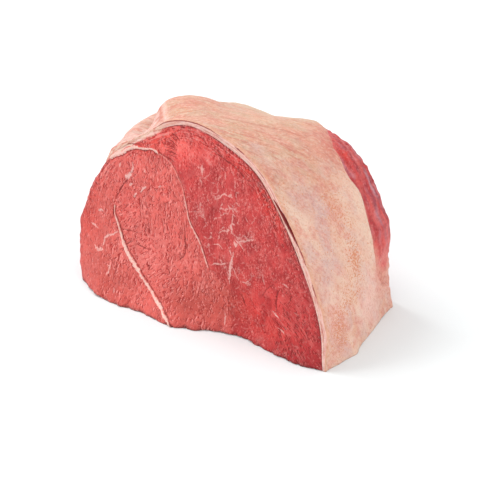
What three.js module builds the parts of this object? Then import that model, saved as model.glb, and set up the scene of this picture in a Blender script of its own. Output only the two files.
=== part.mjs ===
// A raw beef joint: a thick slab cut from the round. It stands on a cut base, with a flat cut face
// in front, and a fat cap lies over its domed top and its right side.
// Two solids: the lean, and the fat cap that follows it a hair's breadth away.
// Millimetres. +X runs to the right along the cut face, +Y from the cut face to the back, +Z up.
import * as THREE from "three";
import { mergeVertices } from "three/addons/utils/BufferGeometryUtils.js";

// ---- Driving dimensions ----

// The dome of the lean at the cut face and at the back, as x and z, from the right foot over the top
// to the left foot. The two lists pair up, and the body is lofted from one to the other.
const FRONT_DOME = [
  [94, 0], [88, 26], [75, 56], [57, 86], [36, 110], [10, 122.5],
  [-19, 126.5], [-46, 113.5], [-72, 92], [-90, 65], [-99, 34], [-93, 0],
];
const BACK_DOME = [
  [85, 0], [83, 30.5], [79, 62.5], [67.5, 87], [52, 103], [30, 109],
  [2.5, 103.5], [-30, 105.5], [-60, 95], [-82, 74], [-91, 42], [-87, 0],
];

const FACE_Y = -50; // the cut face at its foot
const FACE_LEAN = 0.1; // how far back the cut face leans, for each millimetre of height
const BACK_Y = 41; // the back at its foot
const BACK_LEAN = 0.03; // how far forward the back leans

const SIDE_BULGE = 2.5; // how far the flanks swell between the two faces

// Swellings of the flank: where each one is round the dome (0 right foot, 1 left foot) and in depth
// (0 cut face, 1 back), how far it reaches each way, and how high it stands.
const FLANK_SWELLINGS = [
  { round: 0.62, reach: 0.07, depth: 0.35, deep: 0.3, height: 11 }, // full left shoulder
  { round: 0.7, reach: 0.06, depth: 0.4, deep: 0.35, height: 5 }, // and the slope below it
  { round: 0.5, reach: 0.08, depth: 0.45, deep: 0.35, height: 1 }, // the top
  { round: 0.4, reach: 0.07, depth: 0.55, deep: 0.3, height: 2.7 }, // the right shoulder
  { round: 0.3, reach: 0.08, depth: 0.6, deep: 0.35, height: 2.6 }, // the fat side's crown
  { round: 0, reach: 0.05, depth: 0.3, deep: 0.25, height: 1.8 }, // the right foot
  { round: 0.9, reach: 0.1, depth: 0.6, deep: 0.3, height: -3 }, // a hollow low on the left
];

const SWELLING_START = 0.22; // the share of the depth over which they grow from nothing at the face

// Swellings of the cut face: centre, reach and how far it stands forward.
const FACE_SWELLINGS = [
  { x: -62, z: 4, wide: 34, high: 32, forward: 12.5 }, // the lower left lobe slumps forward
  { x: -13, z: 0, wide: 23, high: 26, forward: 10.5 }, // and so does the one beside it
  { x: 33, z: 0, wide: 16, high: 22, forward: -3.5 }, // the hollow at the foot between the lobes
  { x: 84, z: 0, wide: 14, high: 18, forward: 2.5 }, // the right foot
  { x: -50, z: 62, wide: 30, high: 26, forward: 2 }, // the left muscle's belly
  { x: 38, z: 62, wide: 34, high: 40, forward: 2.5 }, // the right muscle's belly
];
const BACK_SWELLINGS = [
  { x: -25, z: 50, wide: 55, high: 45, forward: -4 }, // the back is a little crowned
  { x: 60, z: 30, wide: 22, high: 30, forward: 3 }, // and hollow beside the right edge
];

// The base is flat and lifts at the cut face's foot, in two places.
const BASE_LIFTS = [
  { x: 22, wide: 12, rise: 1 },
  { x: -76, wide: 9, rise: 1.5 },
];
const BASE_LIFT_DEPTH = 0.22; // the share of the depth in which the base comes down flat
const FOOT = 0.03; // how far round from a foot the flank stands off level, so that its foot stays down

// The fat cap
const FAT_GAP = 0.4; // between the lean and the cap
const FAT_THICKNESS = 4.6;
const FAT_ROUND = [0, 0.755]; // where it starts and ends round the dome
const FAT_FOOT = 0.08; // how far round from its foot the cap grows to its full thickness
const FAT_FOOT_SHARE = 0.4; // the share of it that the foot has
const FAT_THICK_END = [0.578, 0.606]; // the thick cap's left edge; a thin sheet goes on from there
const FAT_THICK_SLANT = 0.12; // how much further round that edge lies at the back
const FAT_THIN_SHARE = 0.42; // the thin sheet's thickness, as a share of the cap's
const FAT_EDGE = 0.07; // how far in from its back edge the cap thins down, as a share of its depth
const FAT_EDGE_SHARE = 0.3; // what is left of its thickness there
// How deep the cap reaches round the dome: [round, share of the depth].
const FAT_REACH = [
  [0, 0.98], [0.04, 0.96], [0.075, 0.78], [0.11, 0.74], [0.25, 0.75], [0.3, 0.7], [0.35, 0.755],
  [0.385, 0.84], [0.415, 0.92], [0.45, 0.98], [0.76, 0.98],
];

// Where the square grid of a cut face turns its upper corners on the dome.
const RIGHT_SHOULDER = 0.34;
const LEFT_SHOULDER = 0.66;

// How finely the solids are made: cells across, in depth and up, and for the cap round, in depth and
// through its thickness.
const LEAN_CELLS = { across: 34, deep: 16, up: 22 };
const FAT_CELLS = { round: 60, deep: 18, thick: 1 };
const WELD = 1e-3; // vertices closer than this become one

const LEAN_RED = 0xc9504b;
const FAT_CREAM = 0xe6bfa4;

// ---- The form ----

const ROUND_STEP = 1e-3; // how far each way round the dome its direction is taken

const frontDome = domeCurve(FRONT_DOME);
const backDome = domeCurve(BACK_DOME);

function domeCurve(knots) {
  const points = knots.map(([x, z]) => new THREE.Vector3(x, 0, z));
  return new THREE.CatmullRomCurve3(points, false, "centripetal");
}

const bell = (distance, reach) => Math.exp(-((distance / reach) ** 2));

const { lerp: mix, smoothstep } = THREE.MathUtils;

function swell(swellings, x, z) {
  return swellings.reduce(
    (sum, s) => sum + s.forward * bell(x - s.x, s.wide) * bell(z - s.z, s.high), 0);
}

const faceY = (x, z) => FACE_Y + FACE_LEAN * z - swell(FACE_SWELLINGS, x, z);

const backY = (x, z) => BACK_Y - BACK_LEAN * z - swell(BACK_SWELLINGS, x, z);

// A point of the dome at a depth from 0 to 1, stood off from the lean along the section's normal.
function flankPoint(round, depth, standOff = 0) {
  const at = sectionPoint(round, depth);
  const ahead = sectionPoint(Math.min(round + ROUND_STEP, 1), depth);
  const behind = sectionPoint(Math.max(round - ROUND_STEP, 0), depth);
  const normal = new THREE.Vector2(ahead.z - behind.z, behind.x - ahead.x).normalize();
  const out = standOff + flankSwell(round, depth);
  const rise = normal.y * smoothstep(Math.min(round, 1 - round), 0, FOOT);
  return placed(at.x + normal.x * out, at.z + rise * out, depth);
}

function sectionPoint(round, depth) {
  return frontDome.getPoint(round).lerp(backDome.getPoint(round), depth);
}

function flankSwell(round, depth) {
  const between = 4 * depth * (1 - depth);
  const rise = smoothstep(depth, 0, SWELLING_START);
  const swellings = FLANK_SWELLINGS.reduce(
    (sum, s) => sum + s.height * bell(round - s.round, s.reach) * bell(depth - s.depth, s.deep), 0);
  return SIDE_BULGE * between + rise * swellings;
}

function placed(x, z, depth) {
  const height = Math.max(z, 0);
  return new THREE.Vector3(x, mix(faceY(x, height), backY(x, height), depth), height);
}

// A point of the base, from the left foot to the right foot.
function basePoint(across, depth) {
  const left = flankPoint(1, depth);
  const right = flankPoint(0, depth);
  const x = mix(left.x, right.x, across);
  const lift = BASE_LIFTS.reduce((sum, s) => sum + s.rise * bell(x - s.x, s.wide), 0);
  return placed(x, lift * (1 - smoothstep(depth, 0, BASE_LIFT_DEPTH)), depth);
}

// The four edges of a section: each a function of a share from 0 to 1.
function sectionEdges(depth) {
  return {
    base: (p) => basePoint(p, depth),
    top: (p) => flankPoint(mix(LEFT_SHOULDER, RIGHT_SHOULDER, p), depth),
    left: (q) => flankPoint(mix(1, LEFT_SHOULDER, q), depth),
    right: (q) => flankPoint(mix(0, RIGHT_SHOULDER, q), depth),
  };
}

// A point inside a section, blended from its four edges.
function sectionInside(p, q, depth) {
  const { base, top, left, right } = sectionEdges(depth);
  const x = blended("x");
  const z = blended("z");
  return placed(x, z, depth);

  function blended(key) {
    const ruled = mix(base(p)[key], top(p)[key], q) + mix(left(q)[key], right(q)[key], p);
    const corners = mix(mix(base(0)[key], base(1)[key], p), mix(top(0)[key], top(1)[key], p), q);
    return ruled - corners;
  }
}

// ---- The solids ----

// A box of cells whose every vertex is moved by a rule of its three shares, each from 0 to 1.
function shapedBox(cells, rule) {
  const box = new THREE.BoxGeometry(1, 1, 1, ...cells);
  const place = box.getAttribute("position");
  for (let i = 0; i < place.count; i++) {
    const point = rule(place.getX(i) + 0.5, place.getY(i) + 0.5, place.getZ(i) + 0.5);
    place.setXYZ(i, point.x, point.y, point.z);
  }
  box.deleteAttribute("normal");
  box.deleteAttribute("uv");
  const merged = mergeVertices(box, WELD);
  merged.computeVertexNormals();
  return merged;
}

function leanGeometry() {
  const { across, deep, up } = LEAN_CELLS;
  return shapedBox([across, deep, up], (p, depth, q) => {
    const edges = sectionEdges(depth);
    if (p === 0) return edges.left(q);
    if (p === 1) return edges.right(q);
    if (q === 0) return edges.base(p);
    if (q === 1) return edges.top(p);
    return sectionInside(p, q, depth);
  });
}

function fatReach(round) {
  const next = Math.max(1, FAT_REACH.findIndex(([at]) => at >= round));
  const [from, low] = FAT_REACH[next - 1];
  const [to, high] = FAT_REACH[next];
  return mix(low, high, smoothstep(round, from, to));
}

function fatThickness(round, share) {
  const foot = mix(FAT_FOOT_SHARE, 1, smoothstep(round, 0, FAT_FOOT));
  const [thick, thin] = FAT_THICK_END.map((at) => at + FAT_THICK_SLANT * share);
  const sheet = mix(1, FAT_THIN_SHARE, smoothstep(round, thick, thin));
  const end = mix(1, FAT_EDGE_SHARE, smoothstep(round, FAT_ROUND[1] - FAT_EDGE, FAT_ROUND[1]));
  const edge = mix(1, FAT_EDGE_SHARE, smoothstep(share, 1 - FAT_EDGE, 1));
  return FAT_THICKNESS * foot * sheet * end * edge;
}

function fatGeometry() {
  const { round, deep, thick } = FAT_CELLS;
  return shapedBox([round, deep, thick], (across, share, out) => {
    const at = mix(FAT_ROUND[1], FAT_ROUND[0], across);
    const depth = share * fatReach(at);
    return flankPoint(at, depth, FAT_GAP + out * fatThickness(at, share));
  });
}

// ---- The joint ----

function piece(name, geometry, colour, roughness) {
  const material = new THREE.MeshStandardMaterial({ color: colour, roughness, metalness: 0 });
  const mesh = new THREE.Mesh(geometry, material);
  mesh.name = name;
  return mesh;
}

const joint = new THREE.Group();
joint.add(piece("lean", leanGeometry(), LEAN_RED, 0.45));
joint.add(piece("fat_cap", fatGeometry(), FAT_CREAM, 0.5));

// The origin is under the middle of the joint, on the surface that it stands on.
const bounds = new THREE.Box3().setFromObject(joint);
const middle = bounds.getCenter(new THREE.Vector3());
joint.position.set(-middle.x, -middle.y, -bounds.min.z);

export default joint;
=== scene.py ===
"""A raw beef joint: a thick slab cut from the round, on a pale studio floor.

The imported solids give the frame. The lean and its fat cap are modelled again at full detail, on the same
form, and stand for the two solids. Shapes are worked out in millimetres, in the construction frame of the
form: +X along the cut face, +Y from the cut face to the back, +Z up. Each piece is moved into the frame of
the solids, in metres, when its mesh is finished.
"""

import logging
import math
from dataclasses import dataclass, field
from enum import Enum
from typing import Sequence

import bmesh
import bpy
import numpy as np
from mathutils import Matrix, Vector, noise


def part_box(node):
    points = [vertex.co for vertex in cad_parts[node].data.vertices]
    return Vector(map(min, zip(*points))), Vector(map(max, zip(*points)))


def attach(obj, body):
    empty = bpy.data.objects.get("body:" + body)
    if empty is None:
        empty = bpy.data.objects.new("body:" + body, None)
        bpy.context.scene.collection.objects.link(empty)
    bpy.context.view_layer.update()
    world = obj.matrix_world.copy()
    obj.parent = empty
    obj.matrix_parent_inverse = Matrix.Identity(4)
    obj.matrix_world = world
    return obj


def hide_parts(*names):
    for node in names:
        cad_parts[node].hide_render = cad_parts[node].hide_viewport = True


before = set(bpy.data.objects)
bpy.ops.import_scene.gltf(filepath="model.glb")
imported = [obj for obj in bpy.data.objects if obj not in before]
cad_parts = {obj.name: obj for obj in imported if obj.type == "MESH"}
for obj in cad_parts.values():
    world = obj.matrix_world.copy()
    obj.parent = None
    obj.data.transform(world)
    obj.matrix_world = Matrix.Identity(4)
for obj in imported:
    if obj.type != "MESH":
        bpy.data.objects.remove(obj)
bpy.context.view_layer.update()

MM = 0.001
ROOT = "root"
EPSILON = 1e-6
ROUND_LONG = 350.0
ROUND_DEEP = 91.0
SEED_STEP = 17.3
SAMPLES = 61
ROUND_SAMPLES = 301
WHITE = (1.0, 1.0, 1.0, 1.0)

Array = np.ndarray
Path = Sequence[tuple[float, float]]


# ---- Small sums ----


def mix(low: Array | float, high: Array | float, share: Array | float) -> Array | float:
    """A value between two others."""
    return low + (high - low) * share


def ramp(value: Array, start: float | Array, end: float | Array) -> Array:
    """A smooth rise from 0 at start to 1 at end."""
    share = np.clip((value - start) / (end - start), 0.0, 1.0)
    return share * share * (3.0 - 2.0 * share)


def fall(value: Array, start: float | Array, end: float | Array) -> Array:
    """A smooth fall from 1 at start to 0 at end."""
    return 1.0 - ramp(value, start, end)


def bell(distance: Array, reach: float | Array) -> Array:
    """A smooth hump, 1 in the middle."""
    return np.exp(-((distance / reach) ** 2))


def perlin(points: Array, scale: tuple[float, float, float], seed: float = 0.0) -> Array:
    """Smooth noise at each point.

    Args:
        points: one row of three coordinates for each point, in millimetres.
        scale: the size of a lump along each coordinate, in millimetres.
        seed: shifts the noise, so that two fields differ.

    Returns:
        A value from about -1 to 1 for each point.
    """
    spots = points / np.array(scale) + seed * SEED_STEP
    return np.array([noise.noise(spot) for spot in spots.tolist()])


def on_plane(across: Array, up: Array) -> Array:
    """Two coordinates as rows of three, for noise on a surface."""
    return np.stack([across, up, np.zeros_like(across)], axis=-1)


def streaks(at: Array, size: tuple[float, float], turn: float = 0.0, seed: float = 0.0) -> Array:
    """Noise on a surface, drawn out along one direction.

    Args:
        at: rows of two coordinates, across and up, in millimetres.
        size: how wide and how long a streak is.
        turn: how far the streaks lean to the left of upright, in degrees.
        seed: shifts the noise, so that two fields differ.

    Returns:
        A value from about -1 to 1 for each row.
    """
    cos, sin = math.cos(math.radians(turn)), math.sin(math.radians(turn))
    across, up = at.T
    return perlin(on_plane(across * cos + up * sin, up * cos - across * sin), (*size, 1.0), seed)


def curve_points(knots: Path, count: int) -> Array:
    """Points along a smooth curve through the knots, evenly spread over its spans."""
    return catmull_rom(np.array(knots, float), np.linspace(0.0, 1.0, count))


def catmull_rom(knots: Array, share: Array) -> Array:
    """A centripetal Catmull-Rom curve through the knots.

    Args:
        knots: the points that the curve passes through.
        share: where along it, from 0 at the first knot to 1 at the last.

    Returns:
        One point of the curve for each share.
    """
    spans = len(knots) - 1
    along = np.clip(share, 0.0, 1.0) * spans
    first = np.minimum(along.astype(int), spans - 1)
    within = (along - first)[..., None]
    before = 2.0 * knots[0] - knots[1]
    after = 2.0 * knots[-1] - knots[-2]
    padded = np.concatenate([[before], knots, [after]])
    a, b, c, d = (padded[first + step] for step in range(4))
    gap_ab, gap_bc, gap_cd = (
        np.sqrt(np.linalg.norm(end - start, axis=-1, keepdims=True))
        for start, end in ((a, b), (b, c), (c, d))
    )
    leave = ((b - a) / gap_ab - (c - a) / (gap_ab + gap_bc) + (c - b) / gap_bc) * gap_bc
    arrive = ((c - b) / gap_bc - (d - b) / (gap_bc + gap_cd) + (d - c) / gap_cd) * gap_bc
    square = 3.0 * (c - b) - 2.0 * leave - arrive
    cube = 2.0 * (b - c) + leave + arrive
    return b + leave * within + square * within**2 + cube * within**3


def nearest_on_path(points: Array, path: Array) -> tuple[Array, Array]:
    """How far each point lies from a path, and where along the path the nearest spot is.

    Args:
        points: rows of two coordinates.
        path: the corners of the path, as rows of two coordinates.

    Returns:
        The distances, below zero on the right of the path as it runs, and the shares of the path from 0 to 1.
    """
    best = np.full(len(points), np.inf)
    share = np.zeros(len(points))
    lengths = np.linalg.norm(np.diff(path, axis=0), axis=1)
    starts = np.concatenate([[0.0], np.cumsum(lengths)])
    for start, end, length, run in zip(path[:-1], path[1:], lengths, starts):
        way, apart = end - start, points - start
        along = np.clip(apart @ way / length**2, 0.0, 1.0)
        left = np.where(way[0] * apart[:, 1] - way[1] * apart[:, 0] < 0.0, -1.0, 1.0)
        distance = left * np.linalg.norm(apart - along[:, None] * way, axis=1)
        closer = np.abs(distance) < np.abs(best)
        best[closer] = distance[closer]
        share[closer] = (run + along[closer] * length) / starts[-1]
    return best, share


# ---- Colours ----


LIGHT_LEVEL = 1.26
SHEEN_LEVEL = 0.03


class Tone(Enum):
    """The colours of the joint, as they look on screen."""

    CORAL = (238, 114, 106)
    ROSE = (226, 86, 84)
    BRICK = (209, 95, 86)
    DEEP = (172, 52, 56)
    EMBER = (230, 68, 58)
    # Painted shade inside the pocket in the rim of the fat.
    PIT = (158, 50, 46)
    # A pale coral: the colour of the painted highlights on the fibre marks, also laid as paler patches of the
    # muscle.
    GLINT = (254, 154, 147)
    MARBLE = (248, 190, 182)
    GRISTLE = (252, 212, 198)
    SHEEN = (206, 160, 172)
    PLUM = (150, 66, 84)
    CREAM = (246, 209, 187)
    PEACH = (236, 179, 152)
    PINK = (232, 156, 139)
    LILAC = (224, 183, 176)
    RUST = (224, 146, 110)
    BLUSH = (216, 118, 102)
    BEIGE = (222, 193, 163)
    SILVER = (255, 208, 197)
    # A dark maroon for painted shade: at the lean's rim, under the rim of the fat and at the foot of the cut
    # face.
    SLIT = (84, 16, 20)

    @property
    def linear(self) -> Array:
        """The colour as linear light, as it is painted for the studio's brightness."""
        share = np.array(self.value) / 255.0
        light = np.where(share <= 0.04045, share / 12.92, ((share + 0.055) / 1.055) ** 2.4)
        return np.maximum(light - SHEEN_LEVEL, 0.002) / LIGHT_LEVEL


class Paint:
    """The colour of each vertex, laid on in coats."""

    def __init__(self, count: int, ground: Tone) -> None:
        """Starts every vertex with one colour."""
        self.colour = np.tile(ground.linear, (count, 1))

    def coat(self, tone: Tone, cover: Array | float) -> None:
        """Lays a colour over what is there, by a share for each vertex."""
        share = np.clip(cover, 0.0, 1.0) * np.ones(len(self.colour))
        self.colour += (tone.linear - self.colour) * share[:, None]

    def shade(self, factor: Array) -> None:
        """Makes each vertex lighter or darker."""
        self.colour *= factor[:, None]

    def store(self, mesh: bpy.types.Mesh, name: str) -> None:
        """Writes the colours into the mesh."""
        store_shares(mesh, name, np.concatenate([self.colour, np.ones((len(self.colour), 1))], axis=1))


def store_shares(mesh: bpy.types.Mesh, name: str, rows: Array) -> None:
    """Writes four numbers for each vertex into the mesh, as a colour."""
    attribute = mesh.color_attributes.new(name, "FLOAT_COLOR", "POINT")
    attribute.data.foreach_set("color", rows.astype(np.float32).ravel())


@dataclass(frozen=True)
class Spot:
    """A soft patch of colour: its middle, its reaches, its tone, its strength and how broken up it is."""

    across: float
    up: float
    wide: float
    high: float
    tone: Tone
    strength: float
    broken: float = 0.0
    grain: float = 1.5

    def lay(self, paint: Paint, at: Array) -> None:
        """Lays the patch on a layer of paint, whose vertices lie at these places."""
        cover = self.strength * bell(at[:, 0] - self.across, self.wide) * bell(at[:, 1] - self.up, self.high)
        if self.broken > 0.0:
            speck = ramp(streaks(at, (self.grain, 1.3 * self.grain), seed=self.across), -0.15, 0.3)
            cover = cover * (1.0 - self.broken * speck)
        paint.coat(self.tone, cover)


# ---- The form ----


@dataclass(frozen=True)
class FlankSwelling:
    """A swelling of the flank: its place round the dome and in depth, its reaches and its height."""

    round: float
    reach: float
    depth: float
    deep: float
    height: float

    def at(self, round_: Array, depth: Array) -> Array:
        """How high it stands there."""
        return self.height * bell(round_ - self.round, self.reach) * bell(depth - self.depth, self.deep)


@dataclass(frozen=True)
class FaceSwelling:
    """A swelling of a cut face: its middle, its reaches and how far it stands forward."""

    x: float
    z: float
    wide: float
    high: float
    forward: float

    def at(self, x: Array, z: Array) -> Array:
        """How far forward it stands there."""
        return self.forward * bell(x - self.x, self.wide) * bell(z - self.z, self.high)


@dataclass(frozen=True)
class JointForm:
    """The form of the joint, which both pieces follow.

    The dome runs from the right foot, at round 0, over the top to the left foot, at round 1. Depth runs
    from 0 at the cut face to 1 at the back.
    """

    front_dome: Path = (
        (94, 0), (88, 26), (75, 56), (57, 86), (36, 110), (10, 122.5),
        (-19, 126.5), (-46, 113.5), (-73, 93), (-90.8, 65.8), (-99, 34), (-93, 0),
    )
    back_dome: Path = (
        (85, 0), (83, 30.5), (79, 62.5), (67.5, 87), (52, 103), (30, 109),
        (2.5, 103.5), (-30, 105.5), (-60, 95), (-82, 74), (-91, 42), (-87, 0),
    )
    face_y: float = -50.0
    face_lean: float = 0.1
    back_y: float = 41.0
    back_lean: float = 0.03
    side_bulge: float = 2.5
    swelling_start: float = 0.22
    flank_swellings: Sequence[FlankSwelling] = (
        FlankSwelling(0.62, 0.07, 0.35, 0.3, 10.6),
        FlankSwelling(0.7, 0.06, 0.4, 0.35, 5),
        FlankSwelling(0.5, 0.08, 0.45, 0.35, 1),
        FlankSwelling(0.4, 0.07, 0.55, 0.3, 2.7),
        FlankSwelling(0.3, 0.08, 0.6, 0.35, 2.6),
        FlankSwelling(0.0, 0.05, 0.3, 0.25, 1.8),
        FlankSwelling(0.9, 0.1, 0.6, 0.3, -3),
        FlankSwelling(0.674, 0.024, 0.4, 0.4, -12),
    )
    face_swellings: Sequence[FaceSwelling] = (
        FaceSwelling(-62, 4, 34, 32, 12.5),
        FaceSwelling(-13, 0, 23, 26, 10.5),
        FaceSwelling(33, 0, 16, 22, -3.5),
        FaceSwelling(84, 0, 14, 18, 2.5),
        FaceSwelling(70, 0, 20, 12, 4.0),
        FaceSwelling(-50, 62, 30, 26, 2),
        FaceSwelling(38, 62, 34, 40, 2.5),
    )
    back_swellings: Sequence[FaceSwelling] = (
        FaceSwelling(-25, 50, 55, 45, -4),
        FaceSwelling(60, 30, 22, 30, 3),
    )
    base_lifts: Sequence[tuple[float, float, float]] = ((22, 12, 1), (-76, 9, 1.5))
    base_lift_depth: float = 0.22
    foot: float = 0.03
    right_shoulder: float = 0.34
    left_shoulder: float = 0.66
    round_step: float = 1e-3
    cap_end: float = 0.755
    cap_gone: float = 0.79
    cap_reach: Sequence[tuple[float, float]] = (
        (0, 0.98), (0.04, 0.96), (0.075, 0.78), (0.11, 0.73), (0.2, 0.715), (0.25, 0.735), (0.3, 0.68),
        (0.35, 0.73), (0.385, 0.83), (0.415, 0.92), (0.45, 0.98), (0.76, 0.98),
    )

    def reach_at(self, round_: Array) -> Array:
        """How deep the fat cap reaches, as a share of the depth."""
        at, deep = np.array(self.cap_reach).T
        span = np.clip(np.searchsorted(at, round_) - 1, 0, len(at) - 2)
        return mix(deep[span], deep[span + 1], ramp(round_, at[span], at[span + 1]))

    def bare(self, round_: Array, depth: Array) -> Array:
        """1 where the flank has no fat on it, 0 under the fat."""
        past = ramp(depth - self.reach_at(round_), -0.01, 0.07)
        return np.maximum(past, ramp(round_, self.cap_end, self.cap_gone))

    def section(self, round_: Array, depth: Array) -> Array:
        """The dome's x and z at a depth, without its swellings."""
        front = catmull_rom(np.array(self.front_dome, float), round_)
        back = catmull_rom(np.array(self.back_dome, float), round_)
        return mix(front, back, np.asarray(depth)[..., None])

    def normal(self, round_: Array, depth: Array) -> Array:
        """The direction out of the flank, as x and z."""
        ahead = self.section(np.minimum(round_ + self.round_step, 1.0), depth)
        behind = self.section(np.maximum(round_ - self.round_step, 0.0), depth)
        way = ahead - behind
        out = np.stack([way[..., 1], -way[..., 0]], axis=-1)
        return out / np.linalg.norm(out, axis=-1, keepdims=True)

    def flank(self, round_: Array, depth: Array, stand_off: Array | float = 0.0) -> Array:
        """A point of the flank.

        Args:
            round_: where round the dome.
            depth: how deep.
            stand_off: how far out from the lean, in millimetres.

        Returns:
            Rows of x, y and z in millimetres.
        """
        at = self.section(round_, depth)
        out = self.normal(round_, depth)
        rise = out[..., 1] * ramp(np.minimum(round_, 1.0 - round_), 0.0, self.foot)
        swell = sum(swelling.at(round_, depth) for swelling in self.flank_swellings)
        height = self.side_bulge * 4.0 * depth * (1.0 - depth) + ramp(depth, 0.0, self.swelling_start) * swell
        far = stand_off + height
        return self.placed(at[..., 0] + out[..., 0] * far, at[..., 1] + rise * far, depth)

    def placed(self, x: Array, z: Array, depth: Array) -> Array:
        """A point between the two cut faces."""
        up = np.maximum(z, 0.0)
        return np.stack([x, mix(self.front_y(x, up), self.rear_y(x, up), depth), up], axis=-1)

    def front_y(self, x: Array, z: Array) -> Array:
        """Where the front cut face lies."""
        return self.face_y + self.face_lean * z - sum(swelling.at(x, z) for swelling in self.face_swellings)

    def rear_y(self, x: Array, z: Array) -> Array:
        """Where the back cut face lies."""
        return self.back_y - self.back_lean * z - sum(swelling.at(x, z) for swelling in self.back_swellings)

    def base(self, across: Array, depth: Array) -> Array:
        """A point of the base, from the left foot to the right foot."""
        left = self.flank(np.ones_like(across), depth)[..., 0]
        right = self.flank(np.zeros_like(across), depth)[..., 0]
        x = mix(left, right, across)
        lift = sum(rise * bell(x - middle, wide) for middle, wide, rise in self.base_lifts)
        return self.placed(x, lift * fall(depth, 0.0, self.base_lift_depth), depth)

    def side_round(self, across: Array, up: Array) -> Array:
        """Where round the dome a vertex of the box's left side, top or right side lies."""
        left = mix(1.0, self.left_shoulder, up)
        right = mix(0.0, self.right_shoulder, up)
        top = mix(self.left_shoulder, self.right_shoulder, across)
        return np.where(across < EPSILON, left, np.where(across > 1.0 - EPSILON, right, top))

    def body(self, across: Array, depth: Array, up: Array) -> Array:
        """Every point of the lean: a box's shares, bent on to the form."""
        zero, one = np.zeros_like(across), np.ones_like(across)
        base = self.base(across, depth)
        top = self.flank(mix(self.left_shoulder, self.right_shoulder, across), depth)
        left = self.flank(mix(1.0, self.left_shoulder, up), depth)
        right = self.flank(mix(0.0, self.right_shoulder, up), depth)
        p, q = across[:, None], up[:, None]
        low = mix(self.base(zero, depth), self.base(one, depth), p)
        shoulders = (self.flank(end * one, depth) for end in (self.left_shoulder, self.right_shoulder))
        high = mix(*shoulders, p)
        inside = mix(base, top, q) + mix(left, right, p) - mix(low, high, q)
        points = self.placed(inside[:, 0], inside[:, 2], depth)
        for rule, edge in ((up > 1.0 - EPSILON, top), (up < EPSILON, base),
                           (across > 1.0 - EPSILON, right), (across < EPSILON, left)):
            points[rule] = edge[rule]
        return points


# ---- Meshes ----


class Lattice:
    """A closed box of cells, whose vertices keep their shares of its three sides, each from 0 to 1."""

    def __init__(self, cells: tuple[int, int, int]) -> None:
        """Makes a cube and cuts it into cells along each side."""
        self.bm = bmesh.new()
        bmesh.ops.create_cube(self.bm, size=1.0)
        bmesh.ops.translate(self.bm, verts=self.bm.verts, vec=(0.5, 0.5, 0.5))
        for side, count in enumerate(cells):
            edges = [e for e in self.bm.edges if abs(e.verts[0].co[side] - e.verts[1].co[side]) > EPSILON]
            bmesh.ops.subdivide_edges(self.bm, edges=edges, cuts=count - 1, use_grid_fill=True)

    def refine(self, ends: Sequence[tuple[int, float]], cuts: int) -> None:
        """Cuts the cells of some ends of the box finer.

        Args:
            ends: the box's sides, 0 to 2, each with its end, 0 or 1.
            cuts: how many cuts each edge of their cells gets.
        """
        edges = [e for e in self.bm.edges
                 if any(all(abs(v.co[side] - end) < EPSILON for v in e.verts) for side, end in ends)]
        bmesh.ops.subdivide_edges(self.bm, edges=edges, cuts=cuts, use_grid_fill=True)

    def finish(self, name: str) -> tuple[bpy.types.Mesh, Array]:
        """Ends the modelling of the box.

        Args:
            name: the name of the mesh.

        Returns:
            The mesh, and its vertices' shares, one row each.
        """
        mesh = bpy.data.meshes.new(name)
        self.bm.to_mesh(mesh)
        self.bm.free()
        shares = np.empty(len(mesh.vertices) * 3, np.float32)
        mesh.vertices.foreach_get("co", shares)
        return mesh, shares.reshape(-1, 3).astype(float)


def place_vertices(mesh: bpy.types.Mesh, points: Array, shift: Array) -> None:
    """Moves a mesh's vertices to points in the form's millimetres, and from there into the frame."""
    mesh.vertices.foreach_set("co", ((points + shift) * MM).astype(np.float32).ravel())
    mesh.shade_smooth()
    mesh.update()


def store_vector(mesh: bpy.types.Mesh, name: str, rows: Array) -> None:
    """Writes three numbers for each vertex into the mesh, for its material to read."""
    attribute = mesh.attributes.new(name, "FLOAT_VECTOR", "POINT")
    attribute.data.foreach_set("vector", rows.astype(np.float32).ravel())


def store_number(mesh: bpy.types.Mesh, name: str, numbers: Array) -> None:
    """Writes one number for each vertex into the mesh."""
    attribute = mesh.attributes.new(name, "FLOAT", "POINT")
    attribute.data.foreach_set("value", numbers.astype(np.float32))


def finished_piece(mesh: bpy.types.Mesh, material: bpy.types.Material,
                   node: str) -> bpy.types.Object:
    """Puts a finished mesh into the scene in place of its solid."""
    piece = bpy.data.objects.new(mesh.name, mesh)
    bpy.context.scene.collection.objects.link(piece)
    mesh.materials.append(material)
    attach(piece, ROOT)
    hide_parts(node)
    return piece


# ---- Finishes ----


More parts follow.
